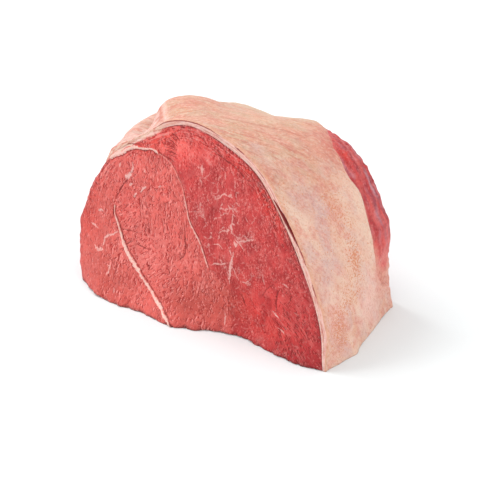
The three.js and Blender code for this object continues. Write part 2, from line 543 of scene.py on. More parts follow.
class Shader:
    """A material's nodes, built with short calls."""

    def __init__(self, name: str) -> None:
        """Starts a material with its surface shader."""
        self.material = bpy.data.materials.new(name)
        self.material.use_nodes = True
        self.tree = self.material.node_tree
        self.tree.nodes.clear()
        self.surface = self.node("ShaderNodeBsdfPrincipled")
        output = self.node("ShaderNodeOutputMaterial")
        self.tree.links.new(self.surface.outputs["BSDF"], output.inputs["Surface"])

    def node(self, kind: str, **settings: object) -> bpy.types.Node:
        """Adds a node with its settings."""
        node = self.tree.nodes.new(kind)
        for name, value in settings.items():
            setattr(node, name, value)
        return node

    def feed(self, socket: bpy.types.NodeSocket, value: object) -> None:
        """Links a value's socket, or sets the number."""
        if isinstance(value, bpy.types.NodeSocket):
            self.tree.links.new(value, socket)
        else:
            socket.default_value = value

    def attribute(self, name: str, output: str = "Color") -> bpy.types.NodeSocket:
        """Reads an attribute of the mesh."""
        return self.node("ShaderNodeAttribute", attribute_name=name).outputs[output]

    def place(self) -> bpy.types.NodeSocket:
        """The place in the object's own coordinates."""
        return self.node("ShaderNodeTexCoord").outputs["Object"]

    def moved(self, vector: bpy.types.NodeSocket, step: tuple[float, float, float]) -> bpy.types.NodeSocket:
        """Shifts coordinates by a step."""
        node = self.node("ShaderNodeVectorMath", operation="ADD")
        self.feed(node.inputs[0], vector)
        node.inputs[1].default_value = step
        return node.outputs[0]

    def mapped(self, vector: bpy.types.NodeSocket, size: tuple[float, float, float],
               turn: float = 0.0) -> bpy.types.NodeSocket:
        """Turns a vector about Y and divides it by a grain's size.

        Args:
            vector: the coordinates to read.
            size: the grain's size along each coordinate.
            turn: the angle in degrees.

        Returns:
            The coordinates, counted in grains.
        """
        turned = self.node("ShaderNodeVectorRotate", rotation_type="Y_AXIS")
        self.feed(turned.inputs["Vector"], vector)
        turned.inputs["Angle"].default_value = math.radians(turn)
        scaled = self.node("ShaderNodeMapping", vector_type="POINT")
        self.feed(scaled.inputs["Vector"], turned.outputs["Vector"])
        scaled.inputs["Scale"].default_value = [1.0 / side for side in size]
        return scaled.outputs["Vector"]

    def noise(self, vector: bpy.types.NodeSocket, detail: float = 2.0, roughness: float = 0.5,
              distortion: float = 0.0, output: str = "Fac") -> bpy.types.NodeSocket:
        """Smooth noise, one lump for each unit of the coordinates."""
        node = self.node("ShaderNodeTexNoise")
        self.feed(node.inputs["Vector"], vector)
        node.inputs["Scale"].default_value = 1.0
        node.inputs["Detail"].default_value = detail
        node.inputs["Roughness"].default_value = roughness
        node.inputs["Distortion"].default_value = distortion
        return node.outputs[output]

    def strayed(self, vector: bpy.types.NodeSocket, size: float, reach: float) -> bpy.types.NodeSocket:
        """Coordinates that stray by a reach, in waves of a size, so that what is drawn on them is crooked."""
        drift = self.noise(self.mapped(vector, (size, size, size)), output="Color")
        node = self.node("ShaderNodeVectorMath", operation="MULTIPLY_ADD")
        self.feed(node.inputs[0], drift)
        node.inputs[1].default_value = (reach, reach, reach)
        self.feed(node.inputs[2], vector)
        return node.outputs[0]

    def walls(self, vector: bpy.types.NodeSocket) -> bpy.types.NodeSocket:
        """How far each place lies from the walls of uneven cells, one cell for each unit."""
        node = self.node("ShaderNodeTexVoronoi", feature="DISTANCE_TO_EDGE")
        self.feed(node.inputs["Vector"], vector)
        node.inputs["Scale"].default_value = 1.0
        return node.outputs["Distance"]

    def line(self, name: str, stray: object, swell: object, soft: float) -> bpy.types.NodeSocket:
        """Draws the lines of an attribute that holds distance, half width and strength, in millimetres.

        Args:
            name: the name of the attribute.
            stray: how far the line strays here.
            swell: how many times its width it is here.
            soft: half the width of its soft edge.

        Returns:
            How much it covers.
        """
        parts = self.node("ShaderNodeSeparateXYZ")
        self.feed(parts.inputs[0], self.attribute(name, "Vector"))
        distance, half, strength = parts.outputs
        away = self.sum("ABSOLUTE", self.plus(distance, stray), 0.0)
        inside = self.minus(self.times(half, swell), away)
        return self.times(self.ranged(inside, -soft, soft), strength)

    def ranged(self, value: object, start: float, end: float, low: float = 0.0,
               high: float = 1.0) -> bpy.types.NodeSocket:
        """Maps a range of a value on to another range, smoothly, and cuts off what is outside."""
        node = self.node("ShaderNodeMapRange", interpolation_type="SMOOTHSTEP")
        numbers = {"Value": value, "From Min": start, "From Max": end, "To Min": low, "To Max": high}
        for name, number in numbers.items():
            self.feed(node.inputs[name], number)
        return node.outputs["Result"]

    def sum(self, operation: str, first: object, second: object) -> bpy.types.NodeSocket:
        """Works out one sum of two values."""
        node = self.node("ShaderNodeMath", operation=operation)
        self.feed(node.inputs[0], first)
        self.feed(node.inputs[1], second)
        return node.outputs[0]

    def times(self, first: object, second: object) -> bpy.types.NodeSocket:
        """Multiplies two values."""
        return self.sum("MULTIPLY", first, second)

    def plus(self, first: object, second: object) -> bpy.types.NodeSocket:
        """Adds two values."""
        return self.sum("ADD", first, second)

    def minus(self, first: object, second: object) -> bpy.types.NodeSocket:
        """Takes the second value from the first."""
        return self.sum("SUBTRACT", first, second)

    def blend(self, first: object, second: object, factor: object, how: str = "MIX") -> bpy.types.NodeSocket:
        """Mixes two colours."""
        node = self.node("ShaderNodeMix", data_type="RGBA", blend_type=how)
        self.feed(node.inputs["Factor"], factor)
        self.feed(node.inputs[6], first)
        self.feed(node.inputs[7], second)
        return node.outputs[2]

    def bump(self, height: bpy.types.NodeSocket, distance: float) -> bpy.types.NodeSocket:
        """Tilts the surface by a height, in metres where it is 1."""
        node = self.node("ShaderNodeBump")
        node.inputs["Distance"].default_value = distance
        node.inputs["Strength"].default_value = 1.0
        self.feed(node.inputs["Height"], height)
        return node.outputs["Normal"]


def rgba(tone: Tone) -> tuple[float, float, float, float]:
    """A tone as a socket's colour."""
    return (*tone.linear, 1.0)


class Grain(Enum):
    """How the fibres of the lean are drawn: the size of a stroke across and along, in mm, and its turn."""

    UPRIGHT = (1.9, 5.6, 3.0)
    FALLING = (1.9, 9.0, 50.0)
    RISING = (2.0, 6.0, -45.0)
    RIM = (1.5, 14.0, 0.0)


@dataclass(frozen=True)
class LeanFinish:
    """Moist raw lean: painted muscle colours under a fine grain of fibre ends and short strokes, drawn in
    painted shade and painted highlights.
    """

    roughness: float = 0.42
    specular: float = 0.35
    scatter: float = 0.1
    scatter_reach: float = 0.003
    scatter_radius: tuple[float, float, float] = (1.0, 0.3, 0.2)
    fleck_size: float = 1.3
    relief: float = 0.001
    # dark, light, lit_side and shadow set the painted shade and painted highlights of the fibre marks;
    # deep_shadow is the painted shade of the creases.
    dark: float = 0.9
    light: float = 0.8
    lit_side: float = 0.42
    shadow: tuple[float, float, float, float] = (0.73, 0.31, 0.31, 1.0)
    deep_shadow: tuple[float, float, float, float] = (0.4, 0.12, 0.12, 1.0)
    furrow: float = 0.065
    furrow_depth: float = 0.34
    furrow_break: float = 2.2
    thread_cell: float = 6.5
    thread_half: float = 0.042

    def height(self, shader: Shader, aside: float) -> bpy.types.NodeSocket:
        """The grain's height.

        Args:
            shader: the material's nodes.
            aside: how far to the right the height is read, in millimetres.

        Returns:
            A number from about -0.3 to 0.3.
        """
        place = shader.moved(shader.place(), (aside * MM, 0.0, 0.0))
        grain = shader.node("ShaderNodeAttribute", attribute_name="grain")
        parts = shader.node("ShaderNodeSeparateColor")
        shader.feed(parts.inputs[0], grain.outputs["Color"])
        size = self.fleck_size * MM
        fleck = shader.noise(shader.mapped(place, (size, 3.0 * size, 1.3 * size)), 3.0, 0.7)
        height = shader.times(shader.minus(fleck, 0.5), shader.attribute("fleck", "Fac"))
        pauses = shader.noise(shader.mapped(place, (self.furrow_break * MM,) * 3), 1.0)
        breaks = shader.ranged(pauses, 0.45, 0.56)
        for style, share in zip(Grain, (*parts.outputs, grain.outputs["Alpha"])):
            across, along, turn = style.value
            if style is Grain.RIM:
                flow = shader.moved(shader.attribute("flow", "Vector"), (aside, 0.0, 0.0))
                spots = shader.mapped(flow, (across, along, 1.0))
            else:
                spots = shader.mapped(place, (across * MM, along * MM, along * MM), turn)
            stroke = shader.minus(shader.noise(spots, 1.5, 0.55, 1.0), 0.5)
            away = shader.sum("ABSOLUTE", stroke, 0.0)
            furrow = shader.ranged(away, self.furrow, 0.0, 0.0, -self.furrow_depth)
            cut = shader.plus(shader.times(stroke, 0.5), shader.times(furrow, breaks))
            height = shader.plus(height, shader.times(cut, share))
        return height

    def threads(self, shader: Shader) -> bpy.types.NodeSocket:
        """How much a broken lace of fine fat threads covers, between bundles of fibres."""
        size = self.thread_cell * MM
        place = shader.strayed(shader.place(), 0.5 * size, 0.5 * size)
        walls = shader.walls(shader.mapped(place, (size, 1.6 * size, 1.3 * size), 14.0))
        gaps = shader.noise(shader.mapped(place, (1.3 * size, 1.3 * size, 1.3 * size)), 1.0)
        breaks = shader.noise(shader.mapped(place, (0.2 * size, 0.2 * size, 0.2 * size)), 2.0, 0.6)
        lace = shader.ranged(walls, 2.0 * self.thread_half, 0.5 * self.thread_half)
        lace = shader.times(lace, shader.ranged(gaps, 0.48, 0.58))
        lace = shader.times(lace, shader.ranged(breaks, 0.42, 0.56))
        return shader.times(lace, shader.attribute("lace", "Fac"))

    def veined(self, shader: Shader, colour: bpy.types.NodeSocket) -> bpy.types.NodeSocket:
        """Draws the creases in painted shade, then the threads, the veins and the seams over the muscle."""
        fine, broad = (shader.mapped(shader.place(), (size * MM,) * 3) for size in (0.9, 2.4))
        rough = shader.minus(shader.noise(fine, 2.0, 0.6), 0.5)
        wave = shader.minus(shader.noise(broad, 2.0, 0.6), 0.5)
        swell, bead = (shader.plus(shader.times(noise, 3.6), 1.0) for noise in (rough, wave))
        # Painted shade along the creases and beside the seams.
        crease = shader.line("crease", wave, swell, 0.25)
        colour = shader.blend(colour, self.deep_shadow, crease, "MULTIPLY")
        colour = shader.blend(colour, rgba(Tone.MARBLE), shader.times(self.threads(shader), 0.8))
        vein = shader.line("vein", shader.times(wave, 1.8), swell, 0.25)
        colour = shader.blend(colour, rgba(Tone.MARBLE), vein)
        seam = shader.line("seam", shader.times(wave, 0.8), bead, 0.3)
        pale = shader.blend(rgba(Tone.GRISTLE), rgba(Tone.MARBLE), shader.ranged(rough, 0.04, -0.1))
        return shader.blend(colour, pale, seam)

    def material(self) -> bpy.types.Material:
        """Builds the material."""
        shader = Shader("lean_meat")
        height = self.height(shader, 0.0)
        slope = shader.minus(self.height(shader, self.lit_side), self.height(shader, -self.lit_side))
        contrast, glint = (shader.attribute(name, "Fac") for name in ("contrast", "glint"))
        colour = shader.attribute("paint")
        # The fibre marks are painted light: painted shade in their hollows and on their far sides, painted
        # highlights on their tops and on their lit sides.
        for mark, start, end in ((height, 0.03, 0.16), (slope, 0.05, 0.26)):
            dark = shader.times(shader.ranged(mark, -start, -end, 0.0, self.dark), contrast)
            light = shader.times(shader.ranged(mark, start, end, 0.0, self.light), glint)
            colour = shader.blend(colour, self.shadow, dark, "MULTIPLY")
            colour = shader.blend(colour, rgba(Tone.GLINT), light)
        surface = shader.surface.inputs
        shader.feed(surface["Base Color"], self.veined(shader, colour))
        shader.feed(surface["Normal"], shader.bump(height, self.relief))
        surface["Roughness"].default_value = self.roughness
        surface["Specular IOR Level"].default_value = self.specular
        surface["Subsurface Weight"].default_value = self.scatter
        surface["Subsurface Radius"].default_value = self.scatter_radius
        surface["Subsurface Scale"].default_value = self.scatter_reach
        return shader.material


@dataclass(frozen=True)
class FatFinish:
    """Beef fat: painted creams and pinks, with fine fibres that follow the dome, and the slits of its rim
    drawn in painted shade.
    """

    roughness: float = 0.48
    scatter: float = 0.2
    scatter_reach: float = 0.003
    scatter_radius: tuple[float, float, float] = (1.0, 0.5, 0.35)
    fibre_size: tuple[float, float, float] = (8.0, 1.1, 4.0)
    fleck_size: tuple[float, float, float] = (2.4, 1.6, 2.0)
    speck_size: float = 1.0
    relief: float = 0.0012
    shade: tuple[float, float, float, float] = (0.8, 0.62, 0.56, 1.0)
    dark_red: tuple[float, float, float, float] = (0.42, 0.13, 0.12, 1.0)

    def material(self) -> bpy.types.Material:
        """Builds the material."""
        shader = Shader("fat_layer")
        flow = shader.strayed(shader.attribute("flow", "Vector"), 9.0, 3.0)
        fibres = shader.noise(shader.mapped(flow, self.fibre_size), 3.0, 0.6, 0.3)
        flecks = shader.noise(shader.mapped(flow, self.fleck_size), 4.0, 0.65)
        specks = shader.minus(shader.noise(shader.mapped(flow, (self.speck_size,) * 3), 3.0, 0.65), 0.5)
        fibre_share = shader.attribute("fibre", "Fac")
        rosy = shader.times(shader.ranged(fibres, 0.5, 0.34), fibre_share)
        pale = shader.times(shader.ranged(fibres, 0.52, 0.66), fibre_share)
        fleck_share = shader.attribute("fleck", "Fac")
        dim, bright = (shader.times(shader.ranged(flecks, *ends), fleck_share)
                       for ends in ((0.5, 0.36, 0.0, 0.5), (0.52, 0.66, 0.0, 0.55)))
        rust = shader.plus(shader.times(specks, 4.4), shader.attribute("rust", "Fac"))
        colour = shader.attribute("paint")
        colour = shader.blend(colour, self.shade, shader.times(rosy, 0.38), "MULTIPLY")
        colour = shader.blend(colour, rgba(Tone.CREAM), shader.times(pale, 0.45))
        colour = shader.blend(colour, self.shade, dim, "MULTIPLY")
        colour = shader.blend(colour, rgba(Tone.CREAM), bright)
        colour = shader.blend(colour, rgba(Tone.RUST), shader.ranged(rust, 0.42, 0.72))
        stray, swell = shader.times(specks, 0.9), shader.plus(shader.times(flecks, 2.4), -0.2)
        colour = shader.blend(colour, self.shade, shader.line("hair", stray, swell, 0.2), "MULTIPLY")
        # The slits in the rim are drawn dark red, as painted shade in their narrow gaps.
        colour = shader.blend(colour, self.dark_red, shader.line("slit", stray, swell, 0.15), "MULTIPLY")
        height = shader.plus(shader.times(fibres, fibre_share), shader.times(flecks, 0.6))
        surface = shader.surface.inputs
        shader.feed(surface["Base Color"], colour)
        shader.feed(surface["Normal"], shader.bump(height, self.relief))
        surface["Roughness"].default_value = self.roughness
        surface["Subsurface Weight"].default_value = self.scatter
        surface["Subsurface Radius"].default_value = self.scatter_radius
        surface["Subsurface Scale"].default_value = self.scatter_reach
        return shader.material


@dataclass(frozen=True)
class FloorFinish:
    """A matt white studio floor."""

    colour: tuple[float, float, float, float] = (0.71, 0.735, 0.74, 1.0)
    roughness: float = 0.9
    specular: float = 0.1

    def material(self) -> bpy.types.Material:
        """Builds the material."""
        shader = Shader("studio_floor")
        surface = shader.surface.inputs
        surface["Base Color"].default_value = self.colour
        surface["Roughness"].default_value = self.roughness
        surface["Specular IOR Level"].default_value = self.specular
        return shader.material


# ---- The cut face ----


LINE_REACH = 2.4
LINE_FADE = 0.8
LINE_TIP = -0.4
HIDDEN = -1.5


class Lines:
    """The nearest of many thin lines at each vertex, for the shader to draw them finer than the mesh.

    A row holds the distance from the line's middle, below zero on its right, the line's half width, below
    zero where no line is near, and its strength.
    """

    def __init__(self, count: int) -> None:
        """Starts with no line near any vertex."""
        self.rows = np.tile((LINE_REACH, HIDDEN, 0.0), (count, 1))

    def add(self, distance: Array, half: Array, strength: float) -> None:
        """Lays in one line, where it is nearer than those before it."""
        half = mix(half, HIDDEN, ramp(np.abs(distance), LINE_REACH - LINE_FADE, LINE_REACH))
        closer = np.abs(distance) - half < np.abs(self.rows[:, 0]) - self.rows[:, 1]
        new = np.stack([distance, half, np.full(len(half), strength)], axis=-1)
        self.rows[closer] = new[closer]

    def cover(self) -> Array:
        """How much the lines cover each vertex."""
        away, half, strength = np.abs(self.rows[:, 0]), self.rows[:, 1], self.rows[:, 2]
        return strength * ramp(half - away, -0.5, 0.3)


@dataclass(frozen=True)
class Vein:
    """A pale streak of fat on the cut face, along x and z in millimetres."""

    path: Path
    width: float
    strength: float = 1.0

    def draw(self, lines: Lines, at: Array) -> None:
        """Lays it in."""
        distance, share = nearest_on_path(at, np.array(self.path, float))
        taper = np.sin(math.pi * share) ** 0.5
        lines.add(distance, mix(LINE_TIP, 0.5 * self.width, taper), self.strength)


@dataclass(frozen=True)
class Seam:
    """A pale seam between two muscles: its path, its half width at each knot, its groove, and the line of
    painted shadow beside it.
    """

    path: Path
    widths: Sequence[float]
    groove: float = 0.5
    beside: float = 0.0
    strength: float = 0.95
    # How dark the line of painted shadow beside the seam is.
    side_shadow: float = 0.8

    def measure(self, at: Array) -> tuple[Array, Array]:
        """How far each place lies from it, and the seam's half width there."""
        distance, share = nearest_on_path(at, curve_points(self.path, 8 * len(self.path)))
        half = np.interp(share, np.linspace(0.0, 1.0, len(self.widths)), self.widths)
        return distance, mix(HIDDEN, half, ramp(np.minimum(share, 1.0 - share), -0.001, 0.01))


@dataclass(frozen=True)
class Crease:
    """A dark crease: its path, how wide and how deep it is."""

    path: Path
    width: float
    depth: float = 0.0
    strength: float = 0.9

    def measure(self, at: Array) -> tuple[Array, Array]:
        """How far each place lies from it, and how much the crease is there along its run."""
        distance, share = nearest_on_path(at, curve_points(self.path, 6 * len(self.path)))
        return distance, np.sin(math.pi * share) ** 0.5

    def draw(self, lines: Lines, at: Array) -> None:
        """Lays it in."""
        distance, run = self.measure(at)
        lines.add(distance, mix(LINE_TIP, 0.5 * self.width, run), self.strength)

    def groove(self, at: Array) -> Array:
        """How deep it is at each place."""
        distance, run = self.measure(at)
        return self.depth * run * bell(distance, self.width)


def fan_strokes(count: int) -> tuple[Crease, ...]:
    """Short fine creases, one above the other, that spread like a fan under the top of the deeper muscle."""
    heights = (102.0, 104.5, 109.0, 114.0, 118.5)
    starts = (-33.5, -32.0, -36.6, -32.5, -29.5)
    turns = (-13.0, -7.0, -2.0, -24.0, -27.0)
    lengths = (9.0, 10.5, 13.0, 10.0, 9.0)
    strokes = []
    for step in range(count):
        z = mix(heights[0], heights[-1], step / (count - 1))
        x, turn, long = (np.interp(z, heights, values) for values in (starts, turns, lengths))
        across, up = long * math.cos(math.radians(turn)), long * math.sin(math.radians(turn))
        path = ((x, z), (x + 0.5 * across, z + 0.5 * up + 0.4), (x + across, z + up))
        strokes.append(Crease(path, 0.85 - 0.2 * (step % 2), 0.3, 1.0 - 0.2 * (step % 2)))
    return tuple(strokes)


@dataclass(frozen=True)
class CutFace:
    """The pattern of a cut face: its muscles, the seams between them, its marbling and its creases."""

    stretch: tuple[float, float] = (1.0, 1.0)
    main_seam: Seam = Seam(
        ((-69.8, 60), (-69.8, 54.5), (-66.3, 48.5), (-63.3, 43), (-60.3, 38), (-55.3, 32), (-49.8, 27.5),
         (-44.3, 23), (-39.3, 19), (-32.8, 14), (-26.8, 10), (-19.3, 6), (-9, -1)),
        (0.15, 0.3, 0.45, 0.6, 0.85, 1.05, 0.95, 0.75, 0.7, 0.85, 0.7, 0.6, 0.6), 0.7, 1.3)
    upper_seam: Seam = Seam(
        ((-76, 88.8), (-74.4, 90.6), (-69.6, 93.3), (-66.4, 94.9), (-61.8, 99), (-55.8, 101.5),
         (-49.3, 102.5), (-42.3, 104), (-37.8, 102.5)),
        (1.0, 1.2, 1.1, 1.0, 0.95, 0.8, 0.6, 0.6, 0.9), 0.5, -1.2)
    thin_seam: Seam = Seam(
        ((-18.2, 84), (-16.8, 81), (-13.8, 72), (-11.3, 65), (-6.8, 59), (-1.8, 51.5), (1.2, 45),
         (4.7, 38.5)),
        (0.05, 0.2, 0.2, 0.3, 0.35, 0.35, 0.35, 0.25), 0.4, 0.7, 0.85)
    faint_seam: Seam = Seam(
        ((-37.8, 102.5), (-32.8, 101), (-28.8, 99), (-25.8, 96), (-22.3, 91), (-19.3, 86.5), (-17.4, 82.5)),
        (0.3, 0.15, 0.2, 0.2, 0.15, 0.15, 0.1), 0.4, 0.7, 0.4, 0.5)
    # Each crease is sunk as a groove, and the material draws its dark line as painted shade.
    creases: Sequence[Crease] = (
        Crease(((-59, 84), (-61.5, 78), (-64.4, 74.2), (-67.6, 67.5), (-70.9, 60.5)), 0.8, 0.7, 1.0),
        Crease(((-70.9, 60.5), (-70.9, 55), (-69.6, 49.5)), 0.9, 0.8, 1.0),
        Crease(((-65.1, 55.8), (-57.3, 64.3)), 0.6, 0.6),
        Crease(((-59.4, 50.2), (-55.8, 55.3)), 0.5, 0.4),
        Crease(((-62.2, 45.3), (-52.5, 46.3)), 0.6, 0.6),
        Crease(((-58, 36.2), (-52.4, 40.4)), 0.6, 0.6),
        Crease(((-15.8, 66.2), (-14.5, 52), (-13.7, 42), (-16.4, 38.5), (-20.4, 35)), 1.0, 0.8),
        Crease(((-24.4, 30.9), (-21.3, 26.6)), 0.8, 0.8),
        Crease(((-50.6, 39.1), (-45.1, 38.5), (-38.9, 37.5)), 0.7, 0.6),
        Crease(((58.8, 45), (56.4, 38.1), (56, 31), (57.1, 23.7)), 0.9, 0.5),
        Crease(((62.9, 45.7), (66.1, 39.9), (63.8, 32.3)), 0.8, 0.4),
        Crease(((29.8, 30), (33.3, 21)), 0.9, 0.6),
        Crease(((44.8, 31.5), (49, 39.5), (55, 45.9)), 0.7, 0.3, 0.6),
        Crease(((-69, 97.5), (-63, 101.5), (-56, 103.6), (-48, 104.4)), 0.6, 0.5),
        *fan_strokes(9),
        Crease(((-7.3, 121.8), (-2.7, 119.2), (0.6, 115.7)), 0.5, 0.3),
        Crease(((-38.2, 29.6), (-37.2, 25.3)), 0.8, 0.8),
        Crease(((-25, 35.4), (-24.6, 33.2)), 0.8, 0.8),
        Crease(((-10.2, 20.4), (-10, 18.2)), 0.7, 0.8),
        Crease(((-3.5, 119), (11.8, 112.6), (22.4, 108.6), (37, 96)), 0.6, 0.4),
    )
    spots: Sequence[Spot] = (
        Spot(-89, 42, 7, 14, Tone.EMBER, 0.6, 0.3, 4.0),
        Spot(-88, 66, 5, 14, Tone.EMBER, 0.4, 0.4, 3.0),
        Spot(-60, 66, 8, 14, Tone.ROSE, 0.25, 0.5, 6.0),
        Spot(-70, 22, 18, 12, Tone.BRICK, 0.75),
        Spot(-60, 5, 26, 9, Tone.BRICK, 0.5),
        Spot(-72, 42, 9, 12, Tone.BRICK, 0.3),
        Spot(-6, 14, 20, 14, Tone.BRICK, 0.95),
        Spot(20, 22, 15, 22, Tone.BRICK, 0.8),
        Spot(-42, 36, 20, 16, Tone.GLINT, 0.3),
        Spot(45, 22, 18, 12, Tone.EMBER, 0.3, 0.3, 4.0),
        Spot(58, 12, 14, 6, Tone.EMBER, 0.5, 0.3, 4.0),
        Spot(80, 4, 16, 9, Tone.DEEP, 0.8),
        Spot(-86, 48, 22, 48, Tone.BRICK, 0.4),
        Spot(-72, 10, 24, 16, Tone.BRICK, 0.7),
        Spot(-24, 114, 20, 10, Tone.CORAL, 0.9),
        Spot(-50, 104, 16, 6, Tone.EMBER, 0.6, 0.3, 4.0),
        Spot(-38, 100, 8, 4, Tone.DEEP, 0.5),
        Spot(-35, 120, 4, 2.5, Tone.EMBER, 0.8),
        Spot(6, 92, 12, 10, Tone.DEEP, 0.25),
        Spot(5, 70, 12, 14, Tone.DEEP, 0.2),
    )
    veins: Sequence[Vein] = (
        Vein(((-63.8, 43.5), (-68.8, 40), (-72.8, 38), (-75.3, 35.5), (-75.3, 32), (-76.3, 28.5)), 1.3, 0.8),
        Vein(((-83.8, 28.5), (-79.3, 26.5), (-74.3, 28.5)), 2.0, 0.7),
        Vein(((-89.8, 41), (-85.3, 40.5), (-81.3, 39)), 1.2, 0.7),
        Vein(((-83.8, 50.5), (-81.3, 52.5), (-78.8, 52)), 1.4, 0.8),
        Vein(((-68.8, 21), (-66.3, 20.5), (-66.3, 17.5), (-68.4, 13.5)), 1.2, 0.7),
        Vein(((-60.3, 9), (-58.3, 5.5)), 1.0, 0.6),
        Vein(((-58.3, 92), (-56.8, 87.5), (-58.3, 84.5), (-60.8, 81.5), (-62.8, 78.5)), 1.4, 0.8),
        Vein(((-63.3, 80.5), (-60.3, 81), (-57.8, 83.5)), 2.6, 1.0),
        Vein(((-50.3, 73.5), (-47.8, 77), (-45.3, 79)), 1.6, 0.9),
        Vein(((-55.3, 69), (-52.3, 72.5)), 1.6, 0.8),
        Vein(((-59.3, 75), (-56.3, 78)), 1.5, 0.8),
        Vein(((-37.3, 80.5), (-34.3, 82)), 1.4, 0.7),
        Vein(((-48.5, 90), (-47.2, 86.5)), 1.3, 0.6),
        Vein(((-67, 89), (-68.2, 84.5)), 1.3, 0.6),
        Vein(((-5.2, 104.8), (-4.1, 101.4), (-4.2, 97.5)), 1.5, 0.7),
        Vein(((-9.5, 103), (-5, 101.8), (-1.5, 103.5)), 0.7, 0.5),
        Vein(((-5.8, 95.5), (-4.8, 93.5), (-4.4, 91.5)), 1.1, 0.5),
        Vein(((12.4, 105.6), (13.1, 101), (13.1, 99.4)), 0.9, 0.5),
        Vein(((5.2, 84.7), (9.6, 87.4), (13.1, 91.1), (16.9, 91), (21.3, 92.3)), 0.8, 0.7),
        Vein(((15.5, 90.5), (18, 91.4), (20, 90.6)), 1.6, 0.6),
        Vein(((24.5, 79), (21, 80.4), (20.6, 72), (22.2, 66.8)), 1.0, 0.6),
        Vein(((20.2, 73.8), (20.6, 71.4), (20.8, 69.4)), 2.2, 0.8),
        Vein(((10, 63.8), (13.7, 67), (17.5, 68.1), (20.4, 70)), 0.8, 0.75),
        Vein(((23, 64), (24.7, 62), (25.2, 60)), 2.6, 0.85),
        Vein(((24.7, 62), (27.8, 64.9), (31.5, 66.4), (37.1, 68.9), (38.5, 70.7)), 1.3, 0.7),
        Vein(((22.2, 66.6), (28, 62.9), (32.8, 59)), 0.6, 0.9),
        Vein(((5.8, 55.6), (11.7, 57.4), (16.3, 55.2)), 0.8, 0.75),
        Vein(((5.4, 40.6), (9, 43.4), (13.6, 44.7), (20.1, 47.7)), 0.8, 0.75),
        Vein(((24, 58.5), (23.1, 53.7), (21.8, 48), (21.3, 44.3), (21.2, 38), (21.3, 32.3)), 1.4, 0.9),
        Vein(((24.1, 50.5), (22.8, 46.6), (27.6, 39.9), (29.2, 37)), 0.7, 0.6),
        Vein(((30.2, 38.1), (33.7, 38.9), (36.6, 41.7)), 0.9, 0.7),
        Vein(((59, 47.2), (61.5, 46.6), (64.1, 45)), 0.8, 0.7),
        Vein(((53.3, 26.6), (57.1, 23.7), (59.4, 22.5)), 0.8, 1.0),
        Vein(((57.5, 16.2), (61.3, 15.5), (64.5, 13.3)), 0.8, 0.7),
        Vein(((18.2, 13.5), (19.6, 9.5), (20.4, 3.9)), 0.9, 0.8),
        Vein(((45.2, 49.5), (46.7, 44), (48.2, 41.5)), 0.8, 0.5),
        Vein(((34.2, 37), (38.2, 39.5)), 0.8, 0.5),
    )

    @property
    def seams(self) -> Sequence[Seam]:
        """The pale seams."""
        return (self.main_seam, self.upper_seam, self.thin_seam, self.faint_seam)

    def pattern_place(self, points: Array) -> Array:
        """Where in the pattern each point of the face lies."""
        return points[:, [0, 2]] / np.array(self.stretch)

    def seam_lines(self, at: Array) -> Lines:
        """The pale seams at each place."""
        lines = Lines(len(at))
        for seam in self.seams:
            lines.add(*seam.measure(at), seam.strength)
        return lines

    def vein_lines(self, at: Array) -> Lines:
        """The veins at each place."""
        lines = Lines(len(at))
        for vein in self.veins:
            vein.draw(lines, at)
        return lines

    def crease_lines(self, at: Array) -> Lines:
        """The creases at each place, with the lines of painted shadow that run along the seams."""
        lines = Lines(len(at))
        for crease in self.creases:
            crease.draw(lines, at)
        # Beside each seam, on the side of its groove, runs a thin line of painted shadow.
        for seam in self.seams:
            distance, half = seam.measure(at)
            beside = distance - np.sign(seam.beside) * (np.maximum(half, 0.0) + 0.5)
            lines.add(beside, np.where(half > 0.0, 0.34, HIDDEN), seam.side_shadow)
        return lines

    def right_muscle(self, at: Array) -> Array:
        """1 in the deeper red muscle on the right of the thin seam, 0 on the left of it."""
        edge = np.interp(at[:, 1], (0.0, 28.0, 38.5, 65.0, 86.0, 96.0, 103.0, 112.0),
                         (24.0, 20.0, 5.5, -10.5, -18.5, -25.0, -34.0, -30.0))
        return ramp(at[:, 0] - edge, -1.0, 3.0)

    def grains(self, at: Array, from_rim: Array) -> Array:
        """How strongly each style of fibre shows at each place, in the order of the styles."""
        right = self.right_muscle(at)
        beside, _ = self.main_seam.measure(at)
        rising = ramp(beside, 1.0, 4.0) * fall(beside, 12.0, 24.0) * ramp(at[:, 1], 4.0, 20.0)
        rising *= fall(at[:, 1], 62.0, 76.0)
        falling = 1.2 * bell(at[:, 0] - 72.0, 26.0) * bell(at[:, 1] - 18.0, 24.0)
        rim = bell(from_rim, 9.0) * ramp(at[:, 1], 30.0, 70.0)
        upright = (1.0 - 0.75 * right) * (0.65 + 0.35 * ramp(at[:, 0], -74.0, -56.0))
        upright *= 1.0 - 0.3 * ramp(30.0 - at[:, 1], 0.0, 22.0)
        upright = upright * (1.0 - rising) * (1.0 - falling) * (1.0 - 0.8 * rim)
        patchy = mix(0.7, 1.1, ramp(streaks(at, (9.0, 13.0), seed=19.0), -0.3, 0.3))
        return np.stack([upright, falling, rising, 1.5 * rim], axis=-1) * patchy[:, None]

    def relief(self, at: Array, from_rim: Array) -> Array:
        """How far the face stands proud of its form at each place, in millimetres."""
        height = 0.6 * streaks(at, (17.0, 24.0), 12.0, 1.0) + 0.2 * streaks(at, (3.2, 6.5), 8.0, 2.0)
        upright, falling, rising, _ = self.grains(at, from_rim).T
        height += 0.3 * upright * streaks(at, (1.4, 4.4), 3.0, 6.0)
        height += 0.3 * falling * streaks(at, (1.4, 7.0), 52.0, 7.0)
        height += 0.35 * rising * streaks(at, (1.4, 5.0), -45.0, 8.0)
        for crease in self.creases:
            height -= crease.groove(at)
        for seam in self.seams:
            distance, half = seam.measure(at)
            beside = np.sign(seam.beside) * (half + abs(seam.beside) * 0.5)
            height -= seam.groove * bell(distance - beside, 0.8)
            height += 0.6 * seam.groove * bell(distance, half + 0.2)
        return height


# ---- The pieces ----


class Side(Enum):
    """The sides of the lean."""

    FRONT = 0
    BACK = 1
    FLANK = 2
    BASE = 3


